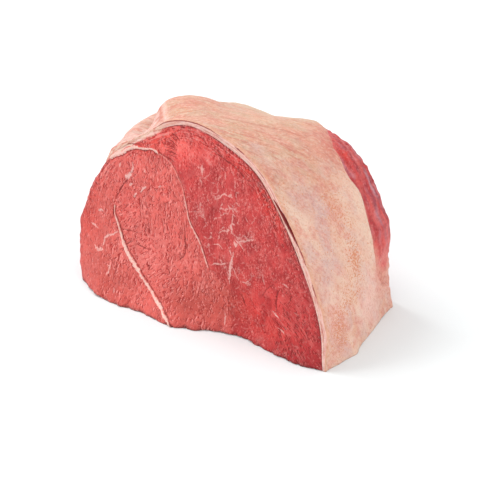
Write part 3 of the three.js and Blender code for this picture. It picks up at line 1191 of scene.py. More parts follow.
@dataclass
class LeanMeat:
    """The lean body of the joint, closed all round, with its front cut face modelled finest."""

    form: JointForm
    shift: Array
    front_face: CutFace = field(default_factory=CutFace)
    back_face: CutFace = field(
        default_factory=lambda: CutFace(stretch=(0.93, 0.86), veins=CutFace.veins[8:24]))
    cells: tuple[int, int, int] = (92, 40, 62)
    front_cuts: int = 2
    back_cuts: int = 1
    rim_radius: float = 1.4
    covered_radius: float = 0.6
    base_radius: float = 0.8
    notch: float = 0.9
    right_swell: float = 3.1
    foot_forward: Sequence[tuple[float, float, float]] = (
        (-60.0, 32.0, 4.6), (-6.0, 28.0, 4.6), (38.0, 26.0, 3.8),
    )
    gather: float = 0.55
    rim_samples: int = 600
    numbers: dict[str, Array] = field(default_factory=dict)
    lines: dict[str, Lines] = field(default_factory=dict)

    def build(self) -> bpy.types.Object:
        """Models and paints the lean.

        Returns:
            The finished piece.
        """
        lattice = Lattice(self.cells)
        lattice.refine([(1, 0.0)], self.front_cuts)
        lattice.refine([(1, 1.0)], self.back_cuts)
        mesh, shares = lattice.finish("lean_meat")
        across, up = shares[:, 0], shares[:, 2]
        depth = self.gathered(shares[:, 1])
        sides = self.sorted_sides(across, depth, up)
        points = self.form.body(across, depth, up)
        round_ = self.form.side_round(across, up)
        flow = self.flow(points, depth, round_, sides)
        self.press_faces(points, sides, flow)
        self.comb_flank(points, depth, flow, sides)
        self.notch_base(points, depth, sides)
        self.round_edges(points, depth, round_, sides, flow)
        place_vertices(mesh, points, self.shift)
        self.paint(mesh, points, depth, round_, sides, flow)
        return finished_piece(mesh, LeanFinish().material(), "lean")

    def gathered(self, depth: Array) -> Array:
        """Draws the cells of the flank closer together near the two cut faces."""
        return mix(depth, 0.5 - 0.5 * np.cos(math.pi * depth), self.gather)

    def sorted_sides(self, across: Array, depth: Array, up: Array) -> Array:
        """Which side each vertex belongs to. A vertex on an edge goes to the cut face, then to the flank."""
        sides = np.full(len(across), Side.BASE.value)
        sides[(across < EPSILON) | (across > 1.0 - EPSILON) | (up > 1.0 - EPSILON)] = Side.FLANK.value
        sides[depth < EPSILON] = Side.FRONT.value
        sides[depth > 1.0 - EPSILON] = Side.BACK.value
        return sides

    def flow(self, points: Array, depth: Array, round_: Array, sides: Array) -> Array:
        """How far in from the nearest rim of a cut face each vertex lies, where along it, and where round.

        The first number is below zero on the cut faces, and above on the flank, so that it runs on over the
        rim.
        """
        flow = np.zeros((len(points), 3))
        rounds = np.linspace(0.0, 1.0, self.rim_samples)
        for end, side in ((0.0, Side.FRONT), (1.0, Side.BACK)):
            rim = self.form.flank(rounds, np.full(self.rim_samples, end))[:, [0, 2]]
            lengths = np.concatenate([[0.0], np.cumsum(np.linalg.norm(np.diff(rim, axis=0), axis=1))])
            rows = np.flatnonzero(sides == side.value)
            distance, share = nearest_on_path(points[rows][:, [0, 2]], rim)
            flow[rows, 0] = -np.abs(distance)
            flow[rows, 1] = share * lengths[-1]
            flow[rows, 2] = np.interp(share * lengths[-1], lengths, rounds)
        rows = np.flatnonzero(sides == Side.FLANK.value)
        flow[rows, 0] = depth[rows] * ROUND_DEEP
        flow[rows, 1] = round_[rows] * ROUND_LONG
        flow[rows, 2] = round_[rows]
        return flow

    def press_faces(self, points: Array, sides: Array, flow: Array) -> None:
        """Gives the two cut faces their relief."""
        for side, face, forward in ((Side.FRONT, self.front_face, -1.0), (Side.BACK, self.back_face, 1.0)):
            rows = np.flatnonzero(sides == side.value)
            at = face.pattern_place(points[rows])
            points[rows, 1] += forward * face.relief(at, -flow[rows, 0])

    def comb_flank(self, points: Array, depth: Array, flow: Array, sides: Array) -> None:
        """Draws the fibres of the bare flank round the dome, and makes its rims wavy."""
        rows = np.flatnonzero((sides != Side.BASE.value) & (flow[:, 0] > -8.0))
        round_, deep = flow[rows, 2], depth[rows]
        at = np.stack([round_ * ROUND_LONG, deep * ROUND_DEEP], axis=-1)
        lumps = 1.1 * streaks(at, (7.0, 14.0), seed=5.0) + 0.4 * streaks(at, (26.0, 2.2), seed=6.0)
        lumps += 0.8 * streaks(at, (3.0, 6.0), seed=29.0)
        free = ramp(np.minimum(round_, 1.0 - round_), 0.0, 0.04) * self.form.bare(round_, deep)
        lumps += self.right_swell * bell(round_ - 0.152, 0.043) * ramp(deep, 0.6, 0.9)
        lumps *= free * fall(-flow[rows, 0], 0.0, 8.0)
        out = self.form.normal(round_, deep)
        points[rows, 0] += out[:, 0] * lumps
        points[rows, 2] = np.maximum(points[rows, 2] + out[:, 1] * lumps, 0.0)

    def notch_base(self, points: Array, depth: Array, sides: Array) -> None:
        """Lifts and frays the foot of the front cut face, so that it meets the table raggedly."""
        x = points[:, 0]
        line = on_plane(x, 0.0 * x)
        bite = self.notch * ramp(perlin(line, (5.0, 1.0, 1.0), 21.0), 0.1, 0.5)
        fray = sum(far * bell(x - middle, wide) for middle, wide, far in self.foot_forward)
        fray *= ramp(84.0 - x, 0.0, 16.0)
        fray += 1.8 * perlin(line, (7.0, 1.0, 1.0), 23.0) + 0.7 * perlin(line, (2.4, 1.0, 1.0), 24.0)
        fray *= ramp(94.0 - np.abs(x), 0.0, 14.0)
        base, front = sides == Side.BASE.value, sides == Side.FRONT.value
        near = np.where(base, fall(depth * ROUND_DEEP, 0.0, 9.0),
                        np.where(front, fall(points[:, 2], 0.0, 5.0), 0.0))
        forward = np.where(base, near, np.where(front, fall(points[:, 2], 0.0, 12.0), 0.0))
        points[:, 2] += bite * near
        points[:, 1] -= fray * forward

    def round_edges(self, points: Array, depth: Array, round_: Array, sides: Array, flow: Array) -> None:
        """Rounds the edges between the cut faces and the flank, and the foot of the cut faces."""
        for end, side, inward in ((0.0, Side.FRONT, 1.0), (1.0, Side.BACK, -1.0)):
            rows = np.flatnonzero(sides == side.value)
            out = self.form.normal(flow[rows, 2], np.full(len(rows), end))
            slide, sink = self.fillet(-flow[rows, 0], self.radius_at(flow[rows, 2], end))
            points[rows, 0] -= out[:, 0] * slide
            points[rows, 2] = np.maximum(points[rows, 2] - out[:, 1] * slide, 0.0)
            points[rows, 1] += inward * sink
            slide, sink = self.fillet(points[rows, 2], self.base_radius)
            points[rows, 1] += inward * sink
            points[rows, 2] += slide
            rows = np.flatnonzero((sides == Side.FLANK.value) & (abs(depth - end) < 0.5))
            out = self.form.normal(round_[rows], depth[rows])
            _, sink = self.fillet(np.abs(depth[rows] - end) * ROUND_DEEP, self.radius_at(round_[rows], end))
            points[rows, 0] -= out[:, 0] * sink
            points[rows, 2] = np.maximum(points[rows, 2] - out[:, 1] * sink, 0.0)
            rows = np.flatnonzero((sides == Side.BASE.value) & (abs(depth - end) < 0.5))
            _, sink = self.fillet(np.abs(depth[rows] - end) * ROUND_DEEP, self.base_radius)
            points[rows, 2] += sink

    def radius_at(self, round_: Array, end: float) -> Array:
        """How round the rim of a cut face is, which is sharper where fat covers it."""
        bare = self.form.bare(round_, np.full(len(round_), end))
        return mix(self.covered_radius, self.rim_radius, bare)

    def fillet(self, distance: Array, radius: Array | float) -> tuple[Array, Array]:
        """How a vertex beside an edge moves as the edge is rounded: away from the edge, and down."""
        turn = 0.25 * math.pi * (1.0 - np.clip(distance / radius, 0.0, 1.0))
        slide = radius - radius * np.sin(turn) - distance
        return np.where(distance < radius, slide, 0.0), radius * (1.0 - np.cos(turn))

    def paint(self, mesh: bpy.types.Mesh, points: Array, depth: Array, round_: Array, sides: Array,
              flow: Array) -> None:
        """Paints the muscles, the marbling, the bare flank and the base."""
        paint = Paint(len(points), Tone.ROSE)
        grain = np.zeros((len(points), 4))
        # contrast sets how strongly the fibre marks take their painted shade, glint how strongly they take
        # their painted highlights.
        self.numbers = {name: np.full(len(points), value)
                        for name, value in (("fleck", 0.5), ("contrast", 0.8), ("glint", 0.6), ("lace", 0.0))}
        self.lines = {name: Lines(len(points)) for name in ("seam", "vein", "crease")}
        for side, face in ((Side.FRONT, self.front_face), (Side.BACK, self.back_face)):
            rows = np.flatnonzero(sides == side.value)
            self.paint_face(face, paint, grain, points, rows, flow)
        rows = np.flatnonzero(sides == Side.FLANK.value)
        self.paint_flank(paint, depth, round_, rows)
        grain[rows, 3] = 0.6
        self.numbers["contrast"][rows] = 0.55
        paint.store(mesh, "paint")
        store_shares(mesh, "grain", grain)
        for name, numbers in self.numbers.items():
            store_number(mesh, name, numbers)
        for name, lines in self.lines.items():
            store_vector(mesh, name, lines.rows)
        store_vector(mesh, "flow", flow)

    def paint_face(self, face: CutFace, paint: Paint, grain: Array, points: Array, rows: Array,
                   flow: Array) -> None:
        """Paints one cut face, with painted shade along parts of its rim and at its foot."""
        at = face.pattern_place(points[rows])
        from_rim, round_ = -flow[rows, 0], flow[rows, 2]
        right = face.right_muscle(at)
        drawn = {"seam": face.seam_lines(at), "vein": face.vein_lines(at), "crease": face.crease_lines(at)}
        for name, lines in drawn.items():
            self.lines[name].rows[rows] = lines.rows
        layer = Paint(len(at), Tone.CORAL)
        layer.coat(Tone.ROSE, right)
        for spot in face.spots:
            spot.lay(layer, at)
        on_right = fall(round_, 0.6, 0.7)
        top_rim = bell(from_rim - 2.0, 7.0) * ramp(at[:, 1], 60.0, 90.0) * on_right
        layer.coat(Tone.EMBER, (0.75 - 0.5 * ramp(at[:, 1], 110.0, 120.0)) * top_rim)
        # Painted shade towards the rim: the lower right darkens over its last centimetre or so, most in the
        # last few millimetres, and the left rim gets a narrow dark band.
        low_right = on_right * fall(at[:, 1], 60.0, 95.0)
        layer.coat(Tone.DEEP, 0.35 * bell(from_rim, 12.0) * low_right)
        layer.coat(Tone.SLIT, 0.25 * bell(from_rim, 3.0) * low_right)
        layer.coat(Tone.DEEP, 0.5 * bell(from_rim, 2.2) * ramp(round_, 0.72, 0.78))
        fan = bell(at[:, 0] + 26.0, 12.0) * bell(at[:, 1] - 110.0, 10.0)
        pits = ramp(streaks(at, (5.0, 8.0), 10.0, 31.0), -0.1, 0.45) * (1.0 - fan)
        layer.coat(Tone.DEEP, mix(0.1 * pits, (0.15 + 0.45 * pits) * (1.0 - fan), right))
        layer.coat(Tone.GLINT, 0.12 * ramp(streaks(at, (4.0, 6.0), -10.0, 32.0), 0.0, 0.5))
        bright = 0.26 * bell(at[:, 0] + 20.0, 26.0) * bell(at[:, 1] - 112.0, 14.0)
        bright += 0.1 * bell(at[:, 0] - 50.0, 20.0) * bell(at[:, 1] - 25.0, 18.0)
        bright += 0.12 * streaks(at, (13.0, 17.0), seed=7.0) + 0.1 * streaks(at, (3.0, 4.0), seed=8.0)
        layer.shade(1.0 + bright)
        left_rim = ramp(round_, 0.59, 0.63) * fall(round_, 0.72, 0.745)
        ragged = from_rim + 1.2 * streaks(at, (5.0, 5.0), seed=33.0)
        band = left_rim * fall(ragged, 1.6, 2.8)
        layer.coat(Tone.SILVER, band)
        layer.coat(Tone.CREAM, 0.8 * band * ramp(streaks(at, (5.0, 2.0), 30.0, 37.0), -0.1, 0.2))
        layer.coat(Tone.PINK, 0.8 * band * ramp(streaks(at, (6.0, 1.0), 30.0, 60.0), 0.05, 0.3))
        shadow = fall(from_rim, 0.3, 1.5) * fall(round_, 0.56, 0.62)
        shadow *= ramp(round_, 0.03, 0.08)
        layer.coat(Tone.SLIT, 0.6 * shadow)
        # Painted shade at the foot of the face, darkest where it meets the table.
        foot = points[rows, 2] + 1.6 * streaks(at, (3.5, 3.5), seed=51.0)
        layer.coat(Tone.DEEP, 0.35 * fall(foot, 1.0, 9.0) * ramp(at[:, 0], -10.0, 20.0))
        layer.coat(Tone.SLIT, 0.6 * fall(foot, 0.2, 2.4))
        paint.colour[rows] = layer.colour
        pale = np.clip(drawn["seam"].cover() + band, 0.0, 1.0)
        grain[rows] = face.grains(at, from_rim) * (1.0 - 0.85 * pale)[:, None]
        calm = 1.0 - 0.3 * bell(from_rim, 9.0) * ramp(at[:, 1], 30.0, 70.0)
        low = bell(at[:, 0] - 72.0, 26.0) * bell(at[:, 1] - 18.0, 24.0)
        calm *= 1.0 - 0.5 * low
        patchy = mix(0.7, 1.1, ramp(streaks(at, (7.0, 9.0), seed=35.0), -0.3, 0.3))
        self.numbers["fleck"][rows] = mix(0.5, 0.9 * calm, right) * patchy * (1.0 - 0.7 * pale)
        wrinkled = bell(at[:, 0] + 42.0, 26.0) * bell(at[:, 1] - 46.0, 30.0)
        # How strongly the fibre marks take their painted shade and painted highlights here.
        self.numbers["contrast"][rows] = mix(mix(1.0, 1.3, wrinkled), 1.25 - 0.2 * low, right)
        self.numbers["glint"][rows] = mix(1.15, 0.8 - 0.5 * low, right)
        middle = bell(at[:, 0] - 15.0, 22.0) * bell(at[:, 1] - 66.0, 36.0)
        self.numbers["lace"][rows] = mix(0.1, mix(0.2, 1.0, middle), right) * (1.0 - band)

    def paint_flank(self, paint: Paint, depth: Array, round_: Array, rows: Array) -> None:
        """Paints the bare flank, with a grey sheen of skin along its fibres, and its fatty right foot."""
        at = np.stack([round_[rows] * ROUND_LONG, depth[rows] * ROUND_DEEP], axis=-1)
        layer = Paint(len(at), Tone.ROSE)
        layer.coat(Tone.DEEP, 0.5 + 0.7 * streaks(at, (26.0, 2.6), seed=9.0))
        skin = mix(0.3, 1.0, bell(round_[rows] - 0.27, 0.11))
        layer.coat(Tone.PLUM, 0.7 * skin * ramp(streaks(at, (22.0, 3.2), seed=11.0), 0.0, 0.4))
        layer.coat(Tone.SHEEN, 0.7 * skin * ramp(streaks(at, (15.0, 1.3), seed=10.0), 0.0, 0.35))
        layer.coat(Tone.CORAL, 0.5 * ramp(streaks(at, (14.0, 2.2), seed=45.0), 0.0, 0.4))
        left = ramp(round_[rows], 0.7, 0.76)
        layer.coat(Tone.ROSE, 0.6 * left)
        layer.coat(Tone.SHEEN, 0.4 * left * ramp(streaks(at, (46.0, 9.0), seed=52.0), -0.05, 0.45))
        layer.coat(Tone.CORAL, 0.6 * left * ramp(streaks(at, (28.0, 4.0), seed=53.0), 0.0, 0.4))
        thread = np.abs(streaks(at, (60.0, 9.0), 8.0, 54.0))
        layer.coat(Tone.MARBLE, 0.5 * left * fall(thread, 0.0, 0.04))
        near_fat = depth[rows] - self.form.reach_at(round_[rows]) + 0.05 * streaks(at, (4.0, 4.0), seed=38.0)
        strayed = round_[rows] + 0.03 * streaks(at, (5.0, 5.0), seed=12.0)
        strayed -= 0.06 * fall(near_fat, 0.0, 0.1)
        layer.coat(Tone.CORAL, 0.75 * fall(strayed, 0.1, 0.18))
        layer.coat(Tone.PINK, 0.95 * fall(strayed, 0.065, 0.125))
        layer.coat(Tone.PEACH, 0.5 * fall(strayed, 0.04, 0.1))
        layer.coat(Tone.PINK, 0.75 * fall(near_fat, 0.0, 0.07) * fall(round_[rows], 0.19, 0.27))
        layer.coat(Tone.CORAL, 0.8 * fall(near_fat, 0.0, 0.12) * bell(round_[rows] - 0.37, 0.05))
        layer.coat(Tone.EMBER, 0.8 * bell(round_[rows] - 0.34, 0.02) * bell(depth[rows] - 0.83, 0.06))
        paint.colour[rows] = layer.colour


@dataclass
class FatCap:
    """The layer of fat over the top and the right side, with its layered rim at the cut face."""

    form: JointForm
    shift: Array
    cells: tuple[int, int, int] = (112, 36, 5)
    cuts: int = 2
    thickness: float = 4.6
    foot: float = 0.08
    foot_share: float = 0.4
    foot_bulge: float = 2.2
    thick_end: tuple[float, float] = (0.586, 0.612)
    thick_slant: float = 0.2
    thin_shares: Sequence[tuple[float, float]] = (
        (0.59, 0.95), (0.615, 0.7), (0.64, 0.35), (0.68, 0.35), (0.7, 0.7), (0.73, 0.8), (0.755, 0.1),
    )
    swollen: float = 0.15
    rim_thinned: float = 0.3
    wavy: float = 0.012
    edge: float = 0.07
    lip: float = 1.1
    # The pocket in the rim, by place round the dome: its middle and half width as shares of the rim, and how
    # deep it is sunk in millimetres; it is painted dark as shade.
    slit: Sequence[tuple[float, float, float, float]] = (
        (0.0, 0.6, 0.0, 0.0), (0.225, 0.75, 0.0, 0.0), (0.24, 0.66, 0.07, 1.0), (0.255, 0.58, 0.17, 1.9),
        (0.27, 0.52, 0.21, 2.2), (0.285, 0.44, 0.16, 1.7), (0.3, 0.34, 0.09, 0.9), (0.316, 0.22, 0.0, 0.0),
        (0.76, 0.5, 0.0, 0.0),
    )
    # Thin slits between the layers of the rim, which the material draws as painted shade.
    slits: Sequence[Crease] = (
        Crease(((220, 2.4), (210, 3.2), (193, 3.6), (175, 3.5), (158, 3.1)), 1.1, strength=1.0),
        Crease(((152, 2.9), (147, 3.1), (141, 3.2)), 0.9, strength=1.0),
        Crease(((184, 1.9), (170, 1.6), (158, 2.0)), 0.3, strength=0.7),
        Crease(((118, 2.6), (126, 2.8), (134, 2.2)), 0.5, strength=0.7),
        Crease(((84, 3.2), (76, 3.5), (67, 3.6)), 0.8, strength=1.0),
        Crease(((61, 3.5), (55, 3.4), (49, 3.2)), 0.8, strength=1.0),
        Crease(((40, 1.4), (24, 1.6), (10, 1.2)), 0.3, strength=0.6),
    )
    hairs: Sequence[Crease] = (
        Crease(((185.5, 19), (178, 21), (170, 25.5), (157.5, 34.6), (147, 42), (140, 46.4), (136, 53.7)), 2.4,
               strength=0.5),
        Crease(((158, 60), (151, 62), (148, 63)), 0.8, strength=0.5),
        Crease(((149, 14.6), (143.5, 15.5), (141, 22)), 0.8, strength=0.6),
        Crease(((126.7, 5.5), (124, 10)), 0.6, strength=0.6),
        Crease(((123, 33.7), (119, 45.5)), 0.7, strength=0.6),
        Crease(((196, 56), (186, 62), (176, 68)), 0.8, strength=0.5),
        Crease(((110, 12), (98, 14), (92, 20)), 0.7, strength=0.4),
        Crease(((226, 60), (208, 68), (196, 76)), 0.8, strength=0.6),
    )
    rusts: Sequence[tuple[float, float, float, float, float]] = (
        (59, 42, 12, 6, 0.55), (50, 36, 11, 8, 0.36), (88, 37, 12, 8, 0.4), (40, 24, 7, 6, 0.2),
        (36, 30, 4, 12, 0.34), (29, 12, 10, 8, 0.52), (15, 14, 8, 8, 0.44), (120, 3, 5, 5, 0.3),
        (205, 14, 10, 9, 0.3), (100, 56, 8, 6, 0.1), (22, 50, 8, 6, 0.1),
    )
    spots: Sequence[Spot] = (
        Spot(24, 12, 22, 12, Tone.SILVER, 0.5),
        Spot(29, 11, 13, 9, Tone.BLUSH, 0.35, 0.6, 1.4),
        Spot(14, 13, 10, 8, Tone.BLUSH, 0.35, 0.6, 1.4),
        Spot(56, 40, 16, 14, Tone.CREAM, 0.6, 0.3, 3.0),
        Spot(42, 62, 12, 14, Tone.SILVER, 0.45, 0.2, 4.0),
        Spot(86, 37, 10, 8, Tone.PINK, 0.6, 0.3, 2.0),
        Spot(122, 2, 6, 4, Tone.BLUSH, 0.7, 0.3, 2.0),
        Spot(204, 20, 10, 8, Tone.BLUSH, 0.4, 0.6, 1.6),
        Spot(178, 26, 30, 4, Tone.PINK, 0.6, 0.4, 3.0),
        Spot(150, 44, 20, 4, Tone.PINK, 0.6, 0.4, 3.0),
        Spot(180, 8, 10, 5, Tone.PINK, 0.5, 0.4, 2.0),
        Spot(150, 34, 26, 16, Tone.PINK, 0.3),
        Spot(164, 42, 16, 16, Tone.BEIGE, 0.5, 0.2, 4.0),
        Spot(93, 25, 12, 7, Tone.LILAC, 0.8, 0.3, 3.0),
        Spot(104, 17, 12, 8, Tone.LILAC, 0.6, 0.3, 3.0),
        Spot(66, 20, 12, 8, Tone.LILAC, 0.7, 0.3, 3.0),
        Spot(56, 7, 14, 6, Tone.LILAC, 0.5, 0.3, 3.0),
        Spot(142, 11, 6, 5, Tone.LILAC, 0.8, 0.3, 2.0),
        Spot(87, 47, 16, 6, Tone.CREAM, 0.7, 0.2, 3.0),
        Spot(60, 30, 16, 4, Tone.CREAM, 0.5, 0.2, 3.0),
        Spot(42, 38, 8, 10, Tone.CREAM, 0.6, 0.3, 3.0),
        Spot(22, 48, 13, 12, Tone.SILVER, 0.85, 0.15, 3.0),
        Spot(9, 58, 12, 9, Tone.SILVER, 0.5, 0.2, 4.0),
        Spot(28, 66, 14, 6, Tone.PINK, 0.7, 0.3, 3.0),
        Spot(200, 84, 40, 12, Tone.BEIGE, 0.9, 0.2, 4.0),
        Spot(160, 80, 20, 10, Tone.BEIGE, 0.8, 0.2, 4.0),
    )
    bed: float = -0.3
    fibre_turn: float = 29.0

    def build(self) -> bpy.types.Object:
        """Models and paints the fat.

        Returns:
            The finished piece.
        """
        lattice = Lattice(self.cells)
        lattice.refine([(2, 1.0), (1, 0.0)], self.cuts)
        mesh, shares = lattice.finish("fat_layer")
        across, share, out = shares.T
        round_ = mix(self.form.cap_end, 0.0, across)
        wave = perlin(on_plane(share, 0.0 * share), (0.16, 1.0, 1.0), 55.0)
        wave += 0.4 * perlin(share[:, None] * np.ones(3), (0.05,) * 3, 56.0)
        round_ += self.wavy * (wave - 0.6) * ramp(share, 0.0, 0.15) * ramp(round_, 0.6, self.form.cap_end)
        depth = share * self.form.reach_at(round_)
        at = np.stack([round_ * ROUND_LONG, depth * ROUND_DEEP], axis=-1)
        rim = share < EPSILON
        height, sink = self.rounded(share, out, depth, rim)
        thick = self.thickness_at(round_, share, across)
        full = np.clip(thick / self.thickness, 0.0, 1.0)
        stand_off = self.bed + height * thick + self.relief(at, round_) * out * full
        points = self.form.flank(round_, depth, stand_off)
        points[:, 1] += sink + np.where(rim, self.slit_cover(round_, out)[1], 0.0)
        points[:, 1] += 0.5 * streaks(at, (6.0, 6.0), seed=41.0) * fall(depth * ROUND_DEEP, 0.0, 8.0) * out
        self.notch_foot(points, round_, depth)
        place_vertices(mesh, points, self.shift)
        self.paint(mesh, at, round_, share, out, rim)
        return finished_piece(mesh, FatFinish().material(), "fat_cap")

    def thickness_at(self, round_: Array, share: Array, across: Array) -> Array:
        """How thick the cap is."""
        bumps = 0.75 + 0.9 * bell(share - 0.29, 0.06) + 0.9 * ramp(share, 0.88, 1.0)
        foot = mix(self.foot_share, 1.0, ramp(round_, 0.0, self.foot))
        foot += self.foot_bulge / self.thickness * fall(round_, 0.0, 0.06) * ramp(share, 0.02, 0.15) * bumps
        at, thin = np.array(self.thin_shares).T
        thin_here = np.interp(mix(self.form.cap_end, 0.0, across), at, thin)
        thin_here = mix(thin_here, 1.15, self.step_at(round_, share, 0.035) * ramp(share, 0.0, 0.1))
        thick_here = 1.0 + self.swollen * self.step_at(round_, share, 0.02)
        thick_here -= self.rim_thinned * bell(round_ - 0.565, 0.05) * fall(share, 0.0, 0.12)
        sheet = mix(thick_here, thin_here, self.thin_at(round_, share))
        blend = 0.05 + 0.6 * fall(round_, 0.3, 0.34) * ramp(round_, 0.11, 0.17)
        blend += 0.25 * ramp(round_, 0.42, 0.5)
        back = mix(1.0, blend, ramp(share, 1.0 - self.edge, 1.0) ** 2)
        return self.thickness * foot * sheet * back

    def thin_at(self, round_: Array, share: Array) -> Array:
        """1 on the left of the step where the cap grows thin, 0 on the right of it."""
        start, end = (at + self.thick_slant * share for at in self.thick_end)
        return ramp(round_, start, end)

    def step_at(self, round_: Array, share: Array, reach: float) -> Array:
        """1 along the top of that step, down to 0 within a reach."""
        return bell(round_ - self.thick_end[0] - self.thick_slant * share, reach)

    def rounded(self, share: Array, out: Array, depth: Array, rim: Array) -> tuple[Array, Array]:
        """Rounds the outer edge of the rim: the share of the thickness, and how far it sinks."""
        drop = self.lip / self.thickness
        near = np.where(rim, (1.0 - out) / drop, depth * ROUND_DEEP / self.lip)
        turn = 0.25 * math.pi * (1.0 - np.clip(near, 0.0, 1.0))
        low, deep = 1.0 - np.cos(turn), 1.0 - np.sin(turn)
        at_rim = np.minimum(out, 1.0 - drop * deep * (near < 1.0))
        height = np.where(rim, at_rim, out - drop * low * out)
        sink = np.where(rim, self.lip * low, np.where(near < 1.0, self.lip * (deep - near) * out, 0.0))
        return height, sink

    def slit_cover(self, round_: Array, out: Array) -> tuple[Array, Array]:
        """The slit in the rim: how much its painted shade covers, and how deep it is sunk in millimetres."""
        at, middle, half, deep = np.array(self.slit).T
        half_here = np.interp(round_, at, half)
        away = np.abs(out - np.interp(round_, at, middle))
        cover = fall(away, half_here + 0.03, half_here + 0.1) * (half_here > 0.02)
        sunk = fall(away, half_here - 0.05, half_here + 0.03) * (half_here > 0.02)
        inside = (out > EPSILON) & (out < 1.0 - EPSILON)
        return cover, np.where(inside, sunk * np.interp(round_, at, deep), 0.0)

    def relief(self, at: Array, round_: Array) -> Array:
        """Lumps and fibres of the outer surface, in millimetres."""
        top = ramp(round_, 0.25, 0.42)
        return (0.7 * streaks(at, (20.0, 15.0), seed=11.0) + 0.3 * streaks(at, (6.0, 5.0), seed=12.0)
                + mix(0.06, 0.16, top) * streaks(at, (2.2, 14.0), 90.0 - self.fibre_turn, 13.0))

    def notch_foot(self, points: Array, round_: Array, depth: Array) -> None:
        """Lifts the foot of the fat here and there."""
        bite = ramp(perlin(on_plane(depth * ROUND_DEEP, 0.0 * depth), (9.0, 1.0, 1.0), 22.0), 0.0, 0.5)
        points[:, 2] += 0.8 * bite * fall(round_, 0.0, 0.025)

    def paint(self, mesh: bpy.types.Mesh, at: Array, round_: Array, share: Array, out: Array,
              rim: Array) -> None:
        """Paints the outer surface and the layers of the rim, with painted shade in the rim's pocket and a
        painted highlight and shadow along the step.
        """
        top = ramp(round_, 0.25, 0.42)
        along = 90.0 - self.fibre_turn
        paint = Paint(len(at), Tone.PEACH)
        cream = mix(0.4, 0.1, top) + mix(1.6, 0.7, top) * streaks(at, (10.0, 16.0), along, 14.0)
        paint.coat(Tone.CREAM, cream)
        paint.coat(Tone.LILAC, mix(0.7, 0.3, top) * ramp(streaks(at, (8.0, 12.0), along, 15.0), -0.1, 0.3))
        paint.coat(Tone.BEIGE, 0.6 * top * ramp(streaks(at, (6.0, 14.0), along, 59.0), -0.3, 0.3))
        paint.coat(Tone.PINK, mix(0.7, 0.5, top) * ramp(streaks(at, (5.0, 9.0), along, 16.0), -0.1, 0.35))
        paint.coat(Tone.CREAM, mix(0.5, 0.0, top) * ramp(streaks(at, (5.0, 7.0), seed=58.0), 0.05, 0.4))
        paint.coat(Tone.BLUSH, 0.5 * top * ramp(streaks(at, (1.6, 16.0), along, 42.0), 0.1, 0.45))
        paint.shade(1.0 - 0.07 * top)
        for spot in self.spots:
            spot.lay(paint, at)
        back = ramp(share, 0.72, 0.9)
        paint.coat(Tone.CREAM, 0.85 * back * fall(round_, 0.3, 0.34) * ramp(round_, 0.08, 0.16))
        strayed = 0.06 * streaks(at, (5.0, 5.0), seed=38.0)
        glow = bell(round_ - 0.37, 0.055)
        paint.coat(Tone.PINK, 0.8 * ramp(share + strayed, 0.5, 0.85) * glow)
        paint.coat(Tone.BLUSH, 0.6 * ramp(share + strayed, 0.72, 0.95) * glow)
        paint.coat(Tone.CORAL, 0.8 * ramp(share + strayed, 0.92, 1.0) * glow)
        paint.coat(Tone.PINK, 0.8 * ramp(share + strayed, 0.82, 0.97) * fall(round_, 0.11, 0.15))
        paint.coat(Tone.PEACH, 0.7 * fall(at[:, 1], 0.5, 3.5))
        thin = self.thin_at(round_, share)
        faint = thin * mix(0.5, 1.0, fall(share, 0.1, 0.3))
        paint.coat(Tone.LILAC, 0.7 * faint)
        paint.coat(Tone.PINK, 0.8 * faint * ramp(streaks(at, (12.0, 2.0), 10.0, 46.0), 0.0, 0.3))
        paint.coat(Tone.SILVER, 0.9 * faint * ramp(streaks(at, (10.0, 1.6), 8.0, 47.0), -0.05, 0.25))
        paint.coat(Tone.BLUSH, 0.6 * faint * ramp(streaks(at, (6.0, 1.4), 8.0, 48.0), 0.15, 0.4))
        # Along the top of the step where the cap grows thin: a painted highlight on its edge and a painted
        # shadow line just beside it.
        paint.coat(Tone.SILVER, 0.8 * self.step_at(round_ - 0.002, share, 0.007) * fall(share, 0.3, 0.6))
        paint.coat(Tone.BLUSH, 0.8 * self.step_at(round_ - 0.012, share, 0.005) * fall(share, 0.3, 0.6))
        layer = Paint(len(at), Tone.SILVER)
        band = np.stack([at[:, 0], out * self.thickness], axis=-1)
        layer.coat(Tone.LILAC, 0.5 * ramp(streaks(band, (12.0, 0.9), seed=18.0), 0.0, 0.4) * top)
        layer.coat(Tone.PINK, 0.7 * ramp(streaks(band, (14.0, 0.5), seed=17.0), 0.05, 0.35))
        layer.coat(Tone.BLUSH, 0.7 * ramp(streaks(band, (9.0, 0.45), seed=44.0), 0.2, 0.4))
        layer.coat(Tone.PEACH, ramp(out, 0.7, 0.86) * (1.0 - thin))
        layer.coat(Tone.CREAM, 0.8 * thin)
        layer.coat(Tone.SILVER, 0.9 * thin * ramp(out, 0.55, 0.8))
        layer.coat(Tone.PINK, thin * ramp(streaks(band, (3.0, 1.1), seed=49.0), 0.0, 0.35))
        layer.coat(Tone.BLUSH, 0.7 * thin * ramp(streaks(band, (3.0, 1.0), seed=50.0), 0.15, 0.4))
